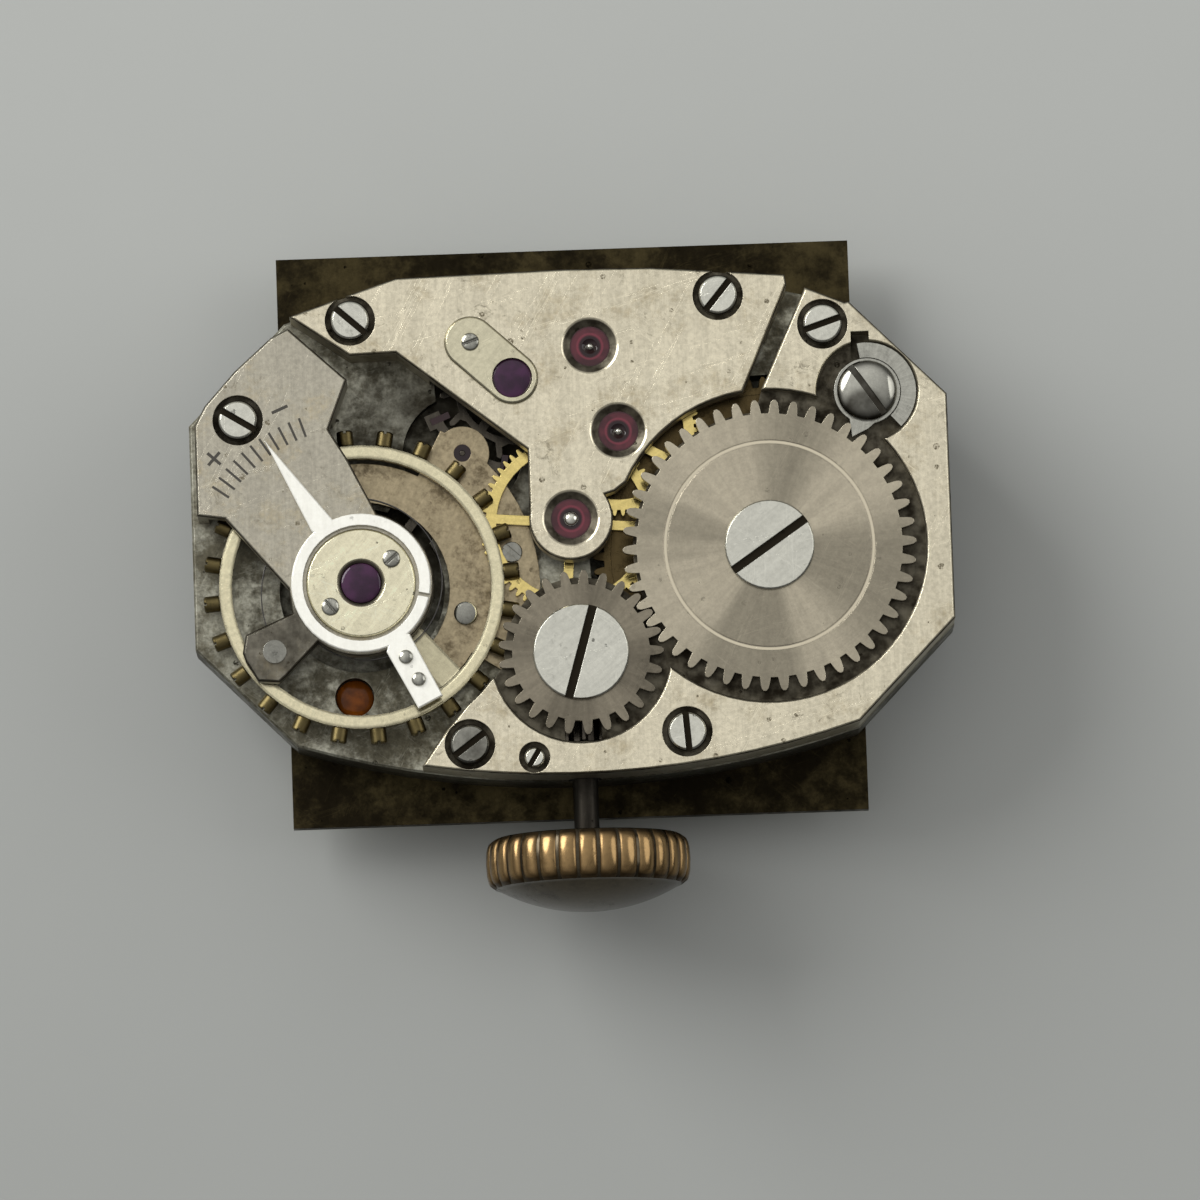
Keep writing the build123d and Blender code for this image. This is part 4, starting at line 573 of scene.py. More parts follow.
def enamel(name, tint):
    """The painted front of the dial, with a faint grain."""
    material, work, shader = surface(name)
    place = millimetres(work)
    cloudy = work.group(shared(tarnish), {"Position": place, "Clean": tint, "Scale": 0.5,
                                          "Stain": faded(tint, 0.8), "Amount": 0.45})
    rough = work.mapped(work.noise(place, 30.0, 3.0, 0.6), 0.3, 0.7, 0.34, 0.5)
    work.wire(shader, {"Base Color": cloudy["Color"], "Roughness": rough})
    return material


def matt(name, tint, variation, scale, roughness):
    """A dull, slightly cloudy colour."""
    material, work, shader = surface(name)
    place = millimetres(work)
    cloud = work.noise(place, scale, 5.0, 0.6)
    base = work.mixed(cloud, faded(tint, 1 - variation), faded(tint, 1 + variation))
    rough = work.mapped(cloud, 0.3, 0.7, roughness - 0.05, roughness + 0.05)
    work.wire(shader, {"Base Color": base, "Roughness": rough})
    return material


def ground(name, tint):
    """The floor, a little darker towards the crown's side as painted light falloff."""
    material, work, shader = surface(name)
    place = millimetres(work)
    uneven = work.mapped(work.noise(place, 0.08, 4.0, 0.6), 0.2, 0.8, -0.06, 0.06)
    share = work.plus(work.mapped(work.split(place)["Y"], -16.0, 18.0), uneven)
    base = work.mixed(share, faded(tint, 0.84), faded(tint, 1.05))
    work.wire(shader, {"Base Color": base, "Roughness": 0.8})
    return material


def paint(mesh, material):
    """Give a mesh one material."""
    mesh.materials.clear()
    mesh.materials.append(material)


def dress(material, *names):
    """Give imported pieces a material."""
    for name in names:
        paint(nodes[name].data, material)


# Meshes
def scratch_object(name, data):
    """A plain object in the scene, for stage things and for pieces that don't stay."""
    made = bpy.data.objects.new(name, data)
    bpy.context.scene.collection.objects.link(made)
    return made


def new_object(name, mesh, material, body):
    """A visible piece, which rides a body and has a material slot of the part."""
    made = scratch_object(name, mesh)
    if material:
        paint(mesh, material)
    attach(made, body)
    return made


def plain_mesh(name, form):
    """The mesh of an edited form, which is used up."""
    mesh = bpy.data.meshes.new(name)
    form.to_mesh(mesh)
    form.free()
    return mesh


def loft(form, first, second):
    """Faces between two rings of corners, of which one may be a single point."""
    count = max(len(first), len(second))
    for step in range(count):
        after = (step + 1) % count
        if len(first) == 1:
            form.faces.new((first[0], second[step], second[after]))
        elif len(second) == 1:
            form.faces.new((first[step], second[0], first[after]))
        else:
            form.faces.new((first[step], second[step], second[after], first[after]))


def smooth(mesh, angle=35.0):
    """Smooth shading that keeps edges sharper than an angle."""
    mesh.polygons.foreach_set("use_smooth", [True] * len(mesh.polygons))
    mesh.set_sharp_from_angle(angle=math.radians(angle))
    mesh.update()


def turned_mesh(name, profile, segments, place=Matrix()):
    """A shape of revolution about Z, from (radius, height) pairs that start and end on the axis."""
    form = bmesh.new()
    angles = [2 * math.pi * step / segments for step in range(segments)]
    rings = []
    for radius, height in profile:
        if radius > 0:
            ring = [(radius * math.cos(angle), radius * math.sin(angle), height) for angle in angles]
        else:
            ring = [(0, 0, height)]
        rings.append([form.verts.new(corner) for corner in ring])
    for first, second in zip(rings, rings[1:]):
        loft(form, first, second)
    bmesh.ops.recalc_face_normals(form, faces=form.faces)
    bmesh.ops.transform(form, matrix=place, verts=form.verts)
    mesh = plain_mesh(name, form)
    smooth(mesh)
    return mesh


def block_mesh(name, size, place=Matrix()):
    """A box of this size, moved by a matrix."""
    form = bmesh.new()
    bmesh.ops.create_cube(form, size=1.0)
    bmesh.ops.scale(form, vec=size, verts=form.verts)
    bmesh.ops.transform(form, matrix=place, verts=form.verts)
    return plain_mesh(name, form)


def plain_copy(source, name):
    """The evaluated mesh of an object, as a new mesh."""
    graph = bpy.context.evaluated_depsgraph_get()
    mesh = bpy.data.meshes.new_from_object(source.evaluated_get(graph))
    mesh.name = name
    return mesh


def slotted(name, mesh, slot_size, place):
    """A screw head's mesh with a slot cut into it; the slot has a length, a width and twice its depth."""
    head = scratch_object(name + "_blank", mesh)
    cutter = scratch_object(name + "_cutter", block_mesh(name + "_cutter", slot_size, place))
    cut = head.modifiers.new("slot", "BOOLEAN")
    cut.operation = "DIFFERENCE"
    cut.object = cutter
    cut.solver = "EXACT"
    result = plain_copy(head, name)
    bpy.data.objects.remove(head)
    bpy.data.objects.remove(cutter)
    smooth(result)
    return result


def screw_profile(head_radius, head_low, head_high, shank_radius, shank_low, rise):
    """The outline of a screw with a domed head, from its point to the middle of its head."""
    bevel = (head_high - head_low) / 5
    points = [(0, shank_low), (shank_radius, shank_low), (shank_radius, head_low), (head_radius, head_low),
              (head_radius, head_high - bevel)]
    steps = 8
    for step in range(1, steps):
        share = step / steps
        radius = (head_radius - bevel) * math.cos(share * math.pi / 2)
        points.append((radius, head_high + rise * math.sin(share * math.pi / 2)))
    points.append((0, head_high + rise))
    return points


def dome(radius, low, rim, rise):
    """The outline of a round stub with a domed end, from its foot to its middle."""
    points = [(0, low), (radius, low), (radius, rim)]
    steps = 6
    for step in range(1, steps + 1):
        share = step / steps * math.pi / 2
        points.append((radius * math.cos(share), rim + rise * math.sin(share)))
    points[-1] = (0, rim + rise)
    return points


def joined_mesh(name, *meshes):
    """One mesh made of several, which are used up."""
    form = bmesh.new()
    for mesh in meshes:
        form.from_mesh(mesh)
        bpy.data.meshes.remove(mesh)
    return plain_mesh(name, form)


def standing(place, height=0.0, turn=0.0):
    """Upright at a place, turned about its own axis."""
    return Matrix.Translation((place.x, place.y, height)) @ Matrix.Rotation(math.radians(turn), 4, "Z")


def round_piece(name, place, outline, material, body, segments=48):
    """A piece turned from an outline that stands at a place."""
    return new_object(name, turned_mesh(name, outline, segments, standing(place)), material, body)


def screw(name, place, outline, slot_size, slot_at, material, node, segments=48):
    """A slotted screw in place of a packed one."""
    blank = turned_mesh(name + "_blank", outline, segments, standing(place))
    made = new_object(name, slotted(name, blank, slot_size, slot_at), material, "root")
    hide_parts(node)


# Geometry Nodes
def finished(work, geometry, material, result):
    """Realize the instances, set their material and send them to the output."""
    real = work.first("GeometryNodeRealizeInstances", {"Geometry": geometry})
    painted = work.first("GeometryNodeSetMaterial", {"Geometry": real, "Material": material})
    work.link(painted, result["Geometry"])


def copies_tree():
    """Copies of a piece at even angles round a centre, on a circle or on a rounded square."""
    tree, work, source, result = node_group("copies round a centre", "GeometryNodeTree", {
        "Piece": ("Object", None), "Count": ("Int", 12), "Radius": ("Float", 1 * MM), "Start": ("Float", 0.0),
        "Step": ("Float", math.pi / 6), "Squareness": ("Float", 0.0), "Centre": ("Vector", None),
        "Turn": ("Vector", None), "Material": ("Material", None)}, {"Geometry": "Geometry"})
    points = work.first("GeometryNodePoints", {"Count": source["Count"]})
    index = work.first("GeometryNodeInputIndex")
    angle = work.plus(source["Start"], work.times(index, source["Step"]))
    across = work.maths("COSINE", angle)
    along = work.maths("SINE", angle)
    corner = work.maths("MAXIMUM", work.maths("ABSOLUTE", across), work.maths("ABSOLUTE", along))
    shrink = work.plus(work.times(work.minus(corner, 1.0), source["Squareness"]), 1.0)
    reach = work.maths("DIVIDE", source["Radius"], shrink)
    place = work.joined(work.times(across, reach), work.times(along, reach))
    moved = work.first("GeometryNodeSetPosition", {"Geometry": points, "Position": place})
    piece = work.add("GeometryNodeObjectInfo", {"Object": source["Piece"]}, transform_space="ORIGINAL")
    rotation = work.first("FunctionNodeEulerToRotation", {0: work.joined(0.0, 0.0, angle)})
    spots = {"Points": moved, "Instance": piece.outputs["Geometry"], "Rotation": rotation}
    copies = work.first("GeometryNodeInstanceOnPoints", spots)
    turned = work.first("FunctionNodeEulerToRotation", {0: source["Turn"]})
    placed = work.first("GeometryNodeTransform", {"Geometry": copies, "Translation": source["Centre"],
                                                  "Rotation": turned})
    finished(work, placed, source["Material"], result)
    return tree


def spring_tree():
    """A flat spiral strip round a centre, close inside and wide in its last turn."""
    tree, work, source, result = node_group("flat spring", "GeometryNodeTree", {
        "Points": ("Int", 900), "Turns": ("Float", 10.0), "Inner": ("Float", 0.5 * MM),
        "Outer": ("Float", 2 * MM), "Strip": ("Float", 0.03 * MM), "Height": ("Float", 0.1 * MM),
        "End": ("Float", 0.0), "Centre": ("Vector", None), "Material": ("Material", None)},
        {"Geometry": "Geometry"})
    line = work.first("GeometryNodeMeshLine", {"Count": source["Points"]})
    curve = work.first("GeometryNodeMeshToCurve", {"Mesh": line})
    index = work.first("GeometryNodeInputIndex")
    share = work.maths("DIVIDE", index, work.minus(source["Points"], 1.0))
    back = work.times(work.minus(share, 1.0), source["Turns"])
    angle = work.plus(source["End"], work.times(back, 2 * math.pi))
    # About half of the growth is even, and the rest comes in the last turn
    even = 0.52
    late = work.maths("POWER", share, 14.0)
    growth = work.plus(work.times(share, even), work.times(late, 1 - even))
    room = work.minus(source["Outer"], source["Inner"])
    reach = work.plus(source["Inner"], work.times(room, growth))
    place = work.joined(work.times(work.maths("COSINE", angle), reach),
                        work.times(work.maths("SINE", angle), reach))
    spiral = work.first("GeometryNodeSetPosition", {"Geometry": curve, "Position": place})
    upright = work.first("GeometryNodeSetCurveNormal", {"Curve": spiral}, mode="Z_UP")
    measures = {"Width": source["Strip"], "Height": source["Height"]}
    section = work.first("GeometryNodeCurvePrimitiveQuadrilateral", measures)
    swept = {"Curve": upright, "Profile Curve": section, "Fill Caps": True}
    strip = work.first("GeometryNodeCurveToMesh", swept)
    moved = {"Geometry": strip, "Translation": source["Centre"]}
    placed = work.first("GeometryNodeTransform", moved)
    finished(work, placed, source["Material"], result)
    return tree


def grown(name, maker, values, body):
    """Make a piece with a Geometry Nodes tree and keep the result as a plain mesh."""
    tree = shared(maker)
    holder = scratch_object(name + "_holder", bpy.data.meshes.new(name + "_holder"))
    modifier = holder.modifiers.new("grow", "NODES")
    modifier.node_group = tree
    names = {item.name: item.identifier for item in tree.interface.items_tree if item.in_out == "INPUT"}
    for label, value in values.items():
        modifier[names[label]] = value
    mesh = plain_copy(holder, name)
    bpy.data.objects.remove(holder)
    smooth(mesh)
    return new_object(name, mesh, None, body)


# Bridge metal: old oil and painted shade fill recesses and jewel sinks and turn the bevels' lower edges into
# dark outlines
BRIDGE_METAL = dict(streaks=0.14, fineness=20.0, stretch=26.0, amount=0.55, specks=1.0, scratches=1.0,
                    fade=0.035, grime_and_shade_strength=1.0, grit=0.18)
POLISHED = dict(amount=0.4, streaks=0.10, turn=0.9, cloud=1.6, specks=1.0, scratches=1.0, grime_and_shade_strength=1.3,
                scuffs=0.4)
GILT = dict(turn=0.7, scratches=1.0, fade=0.05, grime_and_shade_strength=0.9)

# The clean and the stained colour, each a name and a share of it, the roughness and the other settings
METALS = {
    "nickel": ("nickel", 1.0, "nickel_stain", 1.0, (0.24, 0.42), dict(BRIDGE_METAL, scuffs=0.6)),
    # The cock: painted shade round the hairspring stud
    "cock": ("cock", 1.0, "nickel_stain", 1.0, (0.26, 0.42),
             dict(BRIDGE_METAL, scuffs=0.5, shade_and_dirt_spot=(middle("hairspring_stud"), 1.6 * MM))),
    # The plate: old oil and painted shade below its top, painted shade on its upright walls and round the
    # escapement between the bridges
    "plate": ("plate", 1.0, "plate_stain", 1.0, (0.30, 0.52),
              dict(streaks=0.16, cloud=0.7, amount=0.8, specks=1.0, fineness=9.0, stretch=4.0, fade=0.35,
                   grime_and_shade_strength=0.45, grit=0.3, painted_wall_shade=0.6, shade_and_dirt_spot=(middle("pallet_staff"), 3.5 * MM))),
    "aged": ("aged", 1.0, "aged_stain", 1.0, (0.28, 0.42),
             dict(streaks=0.12, turn=0.5, stretch=8.0, amount=0.6, cloud=1.5, fade=0.14, grit=0.2,
                  scuffs=0.5)),
    "dial": ("dial", 1.0, "dial_stain", 1.0, (0.40, 0.62),
             dict(cloud=0.45, amount=0.8, streaks=0.2, fineness=8.0, stretch=3.0, specks=1.0, bright=0.2)),
    "brass": ("brass", 1.0, "brass", 0.6, (0.16, 0.3),
              dict(grain="turned", fineness=20.0, amount=0.35, streaks=0.15, fade=0.16, grime_and_shade_strength=0.5)),
    # The barrel: tarnished brass, darkened further as painted shade under the bridges
    "old brass": ("old_brass", 1.0, "old_brass", 0.5, (0.26, 0.42),
                  dict(amount=0.6, streaks=0.15, cloud=1.6, fade=0.16, grime_and_shade_strength=0.6)),
    # Rim screws: dirty brass, darkened further as painted shade, with edges darkened as painted shade
    "rim brass": ("rim_brass", 1.0, "rim_brass", 0.45, (0.34, 0.5),
                  dict(streaks=0.1, cloud=2.4, edge=0.05, bright=-0.6)),
    "gilt": ("gilt", 1.0, "gilt", 0.7, (0.18, 0.34), dict(GILT, amount=0.45, streaks=0.12, scuffs=0.5)),
    "end gilt": ("gilt", 1.3, "gilt", 1.0, (0.14, 0.3),
                 dict(GILT, amount=0.4, streaks=0.14, specks=1.0, scuffs=0.75)),
    # The balance: its rim's edges darkened as painted shade of a rounded rim
    "pale gold": ("pale_gold", 1.0, "pale_gold", 0.5, (0.16, 0.32),
                  dict(grain="turned", centre=BALANCE, fineness=22.0, amount=0.35, streaks=0.08, edge=0.12,
                       bright=-0.9, fade=0.22, grime_and_shade_strength=0.6)),
    "steel": ("steel", 1.0, "steel", 0.6, (0.11, 0.26), dict(POLISHED, grit=0.10)),
    # Bridge screws: darker round one of them
    "bridge steel": ("steel", 1.0, "steel", 0.6, (0.11, 0.26),
                     dict(POLISHED, shade_and_dirt_spot=(DARKENED_SCREW, 0.85 * MM))),
    # Cap screws: edges darkened as painted shade of their domes
    "cap steel": ("steel", 0.6, "steel", 0.34, (0.12, 0.26),
                  dict(amount=0.45, cloud=1.8, scratches=1.0, fade=0.09, grime_and_shade_strength=1.0, scuffs=0.45, edge=0.05,
                       bright=-0.7)),
    "grey steel": ("steel", 0.42, "steel", 0.22, (0.16, 0.3), dict(streaks=0.15, cloud=1.8, scuffs=0.3)),
    "white steel": ("white_steel", 1.0, "white_steel", 0.75, (0.10, 0.22),
                    dict(amount=0.25, streaks=0.06, depth=0.5, fade=0.09, grit=0.06, scuffs=0.2,
                         metallic=0.3)),
    # Escapement and pinions: steel darkened as painted shade under the bridges
    "dark steel": ("dark_steel", 1.0, "dark_steel", 0.5, (0.26, 0.42), dict(streaks=0.2, cloud=2.0)),
    "click steel": ("steel", 0.66, "steel", 0.4, (0.18, 0.32),
                    dict(grain="turned", centre=CLICK, fineness=12.0, streaks=0.2, cloud=1.8, fade=0.1,
                         grit=0.14, scuffs=0.4)),
    # The winding stem: dirty steel, darkened further as painted shade
    "stem steel": ("dark_steel", 0.34, "dark_steel", 0.2, (0.42, 0.55), dict(cloud=2.0)),
    # The click screw: a painted dark reflection on its dome's lower side
    "black polish": ("steel", 0.62, "steel", 0.35, (0.05, 0.14),
                     dict(amount=0.35, streaks=0.06, depth=0.4, specks=0.3, fade=0.16,
                          shade_and_dirt_spot=(CLICK + Vector((-0.10, -0.50, 0.0)) * MM, 0.62 * MM))),
    # Ratchet and crown wheel: painted reflection wedges on their turned faces; the ratchet's ring gets a
    # painted highlight
    "ratchet": ("winding", 1.0, "winding", 0.72, (0.24, 0.36),
                dict(grain="turned", centre=RATCHET, fineness=26.0, stretch=9.0, amount=0.35, streaks=0.14,
                     painted_sheen=0.26, fade=0.12, ring=RING)),
    "crown wheel": ("winding_dark", 1.0, "winding_dark", 0.6, (0.24, 0.38),
                    dict(grain="turned", centre=CROWN_WHEEL, fineness=24.0, stretch=8.0, streaks=0.2,
                         painted_sheen=0.2, fade=0.12)),
    "spring": ("spring", 1.0, "spring", 0.7, (0.14, 0.26), dict(amount=0.3, streaks=0.1, depth=0.4)),
    # The crown's ribs: brown old oil and painted shade in the grooves between them
    "rose": ("rose", 1.0, "rose", 0.42, (0.20, 0.38),
             dict(cloud=1.6, amount=0.55, streaks=0.1, fineness=10.0, stretch=2.0, bright=0.4, grime_and_shade_strength=1.0,
                  groove=(CROWN, CROWN_REACH - 0.15 * MM, CROWN_REACH - 0.015 * MM), scuffs=0.5,
                  dirt_and_shade="crown_grime_and_shade")),
    # The crown's end: rose gold darkened as painted shade and a painted dark reflection
    "rose dome": ("crown_dome", 1.0, "crown_dome", 0.6, (0.20, 0.34),
                  dict(cloud=1.2, amount=0.55, streaks=0.1, fineness=10.0, stretch=2.0, grit=0.2,
                       scuffs=0.5)),
}
JEWELLED = ("centre_pinion", "third_pinion", "fourth_pinion", "escape_pinion", "pallet_staff",
            "balance_staff")
# The finishes that aren't metal
OTHERS = {
    "ruby": lambda label: stone(label, tint_of("ruby"), 0.1, 1.5, [middle(name) for name in JEWELLED]),
    "cap ruby": lambda label: stone(label, tint_of("cap_ruby"), 0.1, 1.45),
    "amber": lambda label: stone(label, tint_of("amber"), 0.0, 1.3),
    "engraving": lambda label: matt(label, tint_of("engraving"), 0.3, 6.0, 0.6),
    "enamel": lambda label: enamel(label, tint_of("dial_front")),
    "ink": lambda label: matt(label, tint_of("ink"), 0.2, 4.0, 0.45),
    "floor": lambda label: ground(label, tint_of("floor")),
}
finishes = {}


def finish(name, level=None):
    """The material of this name, made once; under its level, old oil and painted shade darken slots and
    corners.
    """
    if (name, level) in finishes:
        return finishes[name, level]
    label = name.replace(" ", "_") + ("" if level is None else "_%d" % round(level / MM * 100))
    if name in METALS:
        clean, clean_share, stain, stain_share, roughness, settings = METALS[name]
        made = metal(label, tint_of(clean, clean_share), tint_of(stain, stain_share), roughness, level,
                     **settings)
    else:
        made = OTHERS[name](label)
    finishes[name, level] = made
    return made


def dress_each(name, *pieces):
    """Give each piece its own material, darkened below its top by old oil and painted shade."""
    for piece in pieces:
        dress(finish(name, top(piece)), piece)


# Operators, one for each piece or group of like pieces
class MOVEMENT_OT_plates(Operator):
    """Finish the plates and bridges"""

    bl_idname = "movement.plates"
    bl_label = "Plates and bridges"

    def execute(self, context):
        dress_each("plate", "main_plate")
        dress(finish("nickel", BRIDGE_TOP), "barrel_bridge", "train_bridge")
        dress(finish("cock", BRIDGE_TOP), "balance_cock")
        dress_each("aged", "pallet_bridge")
        dress(finish("dial"), "dial")
        dress_each("gilt", "escape_cap_plate")
        dress_each("end gilt", "end_piece_plate")
        return {"FINISHED"}


class MOVEMENT_OT_train(Operator):
    """Finish the barrel, the train wheels, the escapement and the motion work"""

    bl_idname = "movement.train"
    bl_label = "Barrel and wheels"

    def execute(self, context):
        dress_each("brass", "centre_wheel", "third_wheel", "fourth_wheel", "hour_wheel", "minute_wheel")
        dress_each("old brass", "barrel_drum", "barrel_cover")
        dress(finish("brass"), "hairspring_collet")
        dress(finish("steel"), "centre_pinion", "third_pinion", "fourth_pinion", "balance_staff", "roller",
              "cannon_pinion", "setting_wheel", "barrel_arbor")
        dress(finish("dark steel"), "winding_pinion", "sliding_pinion", "escape_wheel", "escape_pinion",
              "pallet_fork", "pallet_staff")
        dress(finish("stem steel"), "winding_stem")
        dress(finish("spring"), "mainspring")
        dress_each("pale gold", "balance_wheel")
        return {"FINISHED"}


class MOVEMENT_OT_steelwork(Operator):
    """Finish the winding wheels, the levers, the regulator and the screws"""

    bl_idname = "movement.steelwork"
    bl_label = "Steelwork"

    def execute(self, context):
        dress_each("ratchet", "ratchet_wheel")
        dress_each("crown wheel", "crown_wheel", "crown_wheel_seat")
        dress(finish("grey steel"), "hairspring_stud", "small_plate_screws")
        dress_each("click steel", "click", "click_spring")
        dress_each("steel", "curb_pins", "ratchet_screw", "crown_wheel_screw", "setting_lever_screw")
        dress_each("bridge steel", "bridge_screws")
        dress(finish("steel"), "setting_lever", "setting_lever_spring", "yoke", "steady_pins")
        dress_each("white steel", "regulator")
        return {"FINISHED"}


class MOVEMENT_OT_jewels(Operator):
    """Finish the bearing jewels and make the domed cap jewels"""

    bl_idname = "movement.jewels"
    bl_label = "Jewels"

    def execute(self, context):
        dress(finish("ruby"), "upper_jewels", "lower_jewels", "pallet_stones", "impulse_jewel")
        radius = 0.455 * MM
        rise = 0.05 * MM
        edge = 0.07 * MM
        stones = []
        for place, plate in ((BALANCE, "end_piece_plate"), (middle("escape_pinion"), "escape_cap_plate")):
            outline = dome(radius, BRIDGE_TOP, top(plate) - edge, rise)
            stones.append(turned_mesh("cap_stone", outline, 48, standing(place)))
        mesh = joined_mesh("cap_stones", *stones)
        smooth(mesh)
        made = new_object("cap_stones", mesh, finish("cap ruby"), "root")
        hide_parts("cap_jewels")
        return {"FINISHED"}


class MOVEMENT_OT_pivots(Operator):
    """Make the polished domes of the pivots in their jewels"""

    bl_idname = "movement.pivots"
    bl_label = "Pivot domes"

    def execute(self, context):
        sunk = 0.02 * MM
        stub = 0.025 * MM
        for name, body, radius, rise in (("centre_pinion", "centre_wheel", 0.155 * MM, 0.10 * MM),
                                         ("third_pinion", "third_wheel", 0.055 * MM, 0.04 * MM),
                                         ("fourth_pinion", "fourth_wheel", 0.055 * MM, 0.04 * MM)):
            low = top(name) - sunk
            outline = dome(radius, low, low + stub, rise)
            round_piece(name + "_dome", middle(name), outline, finish("steel"), body, 32)
        return {"FINISHED"}


class MOVEMENT_OT_crown(Operator):
    """Make the crown: its body turned, its ribs copied round it"""

    bl_idname = "movement.crown"
    bl_label = "Crown"

    def execute(self, context):
        sizes = context.scene.movement_sizes
        # Along the crown's axis, which points to -Y
        near = -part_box("crown")[1].y
        far = -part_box("crown")[0].y
        outward = Matrix.Translation((CROWN.x, 0, CROWN.z)) @ Matrix.Rotation(math.pi / 2, 4, "X")
        core = CROWN_REACH - sizes.rib_height
        lip = 0.03 * MM
        edge = near + lip
        band = near + sizes.band_share * (far - near)
        fall = 0.15 * MM
        shares = [0.0, 0.04, 0.09, 0.16, 0.26, 0.5, 0.74, 0.84, 0.91, 0.96, 1.0]
        # The band's rounded outline: a distance from the axis and a place along it for each share
        skin = [(core - fall * abs(2 * share - 1) ** 3, edge + (band - edge) * share) for share in shares]
        # The hollow back with its hole for the stem, the band that carries the ribs and the domed end
        hole = radius_of("winding_stem") * 0.79
        hole_end = near + 0.68 * MM
        hollow = near + 0.16 * MM
        profile = [(0, hole_end), (hole, hole_end), (hole, hollow), (CROWN_REACH * 0.50, hollow - lip),
                   (CROWN_REACH * 0.53, edge), (core - fall - 0.05 * MM, near + 0.01 * MM)] + skin
        foot = core - fall - lip
        depth = far - band
        ball = (foot ** 2 + depth ** 2) / (2 * depth)
        steps = 22
        widest = math.asin(foot / ball)
        for step in range(steps):
            angle = widest * (1 - step / steps)
            profile.append((ball * math.sin(angle), far - ball + ball * math.cos(angle)))
        profile.append((0, far))
        mesh = turned_mesh("crown_body", profile, 144, outward)
        body = new_object("crown_body", mesh, finish("rose dome"), "stem")
        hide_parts("crown")
        # One rib: a rounded bar that lies along the crown's axis, lower at its ends
        root = 0.02 * MM
        rise = sizes.rib_height - 0.004 * MM
        sides = 8
        rib = bmesh.new()
        rows = []
        for share, (reach, along) in zip(shares, skin):
            swell = min(1.0, 0.3 + 8.0 * min(share, 1 - share))
            half = sizes.rib_width / 2 * (0.8 + 0.2 * swell)
            angles = [math.pi * step / sides for step in range(sides + 1)]
            rows.append([rib.verts.new((reach - root + (rise + root) * math.sin(angle) * swell,
                                        half * math.cos(angle), along)) for angle in angles])
        for first, second in zip(rows, rows[1:]):
            loft(rib, first, second)
        rib.faces.new(rows[0])
        rib.faces.new(rows[-1])
        bmesh.ops.recalc_face_normals(rib, faces=rib.faces)
        piece = scratch_object("rib", plain_mesh("rib", rib))
        ribs = grown("crown_ribs", copies_tree, {
            "Piece": piece, "Count": sizes.rib_count, "Radius": 0.0, "Start": math.pi / sizes.rib_count,
            "Step": 2 * math.pi / sizes.rib_count, "Centre": (CROWN.x, 0.0, CROWN.z),
            "Turn": (math.pi / 2, 0.0, 0.0), "Material": finish("rose")}, "stem")
        bpy.data.objects.remove(piece)
        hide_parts("crown")
        return {"FINISHED"}


class MOVEMENT_OT_hairspring(Operator):
    """Make the hairspring's close coil"""

    bl_idname = "movement.hairspring"
    bl_label = "Hairspring"

    def execute(self, context):
        sizes = context.scene.movement_sizes
        across = middle("hairspring_stud") - BALANCE
        stud_clearance = 0.10 * MM
        coil = grown("hairspring_coil", spring_tree, {
            "Turns": sizes.coil_turns, "Inner": 0.44 * MM, "Outer": across.xy.length - stud_clearance,
            "Strip": sizes.strip_width, "Height": top("hairspring") - bottom("hairspring"),
            "End": math.atan2(across.y, across.x), "Centre": (BALANCE.x, BALANCE.y, middle("hairspring").z),
            "Material": finish("spring")}, "root")
        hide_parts("hairspring")
        return {"FINISHED"}


class MOVEMENT_OT_rim_screws(Operator):
    """Copy the slotted timing screws round the balance rim"""

    bl_idname = "movement.rim_screws"
    bl_label = "Rim screws"

    def execute(self, context):
        sizes = context.scene.movement_sizes
        rim = radius_of("balance_wheel")
        reach = radius_of("balance_rim_screws") - rim
        head = 0.19 * MM
        shank = 0.07 * MM
        root = 0.12 * MM
        corner = 0.02 * MM
        bevel = 0.03 * MM
        profile = [(0, -root), (shank, -root), (shank, 0.0), (head - corner, 0.0), (head, corner),
                   (head, reach - bevel), (head - bevel, reach), (0, reach)]
        slot_size = (0.5 * MM, 0.06 * MM, 0.12 * MM)
        blank = turned_mesh("rim_screw_blank", profile, 24)
        cut = slotted("rim_screw", blank, slot_size, Matrix.Translation((0, 0, reach)))
        lying = Matrix.Rotation(math.pi / 2, 4, "Y")
        cut.transform(Matrix.Translation((rim, 0, 0)) @ lying)
        piece = scratch_object("rim_screw_piece", cut)
        step = 2 * math.pi / sizes.rim_screw_count
        arm_angle = math.radians(-48.0)
        screws = grown("rim_screw_set", copies_tree, {
            "Piece": piece, "Count": sizes.rim_screw_count, "Radius": 0.0, "Start": arm_angle + step / 2,
            "Step": step, "Centre": (BALANCE.x, BALANCE.y, middle("balance_rim_screws").z),
            "Material": finish("rim brass")}, "balance")
        bpy.data.objects.remove(piece)
        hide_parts("balance_rim_screws")
        return {"FINISHED"}


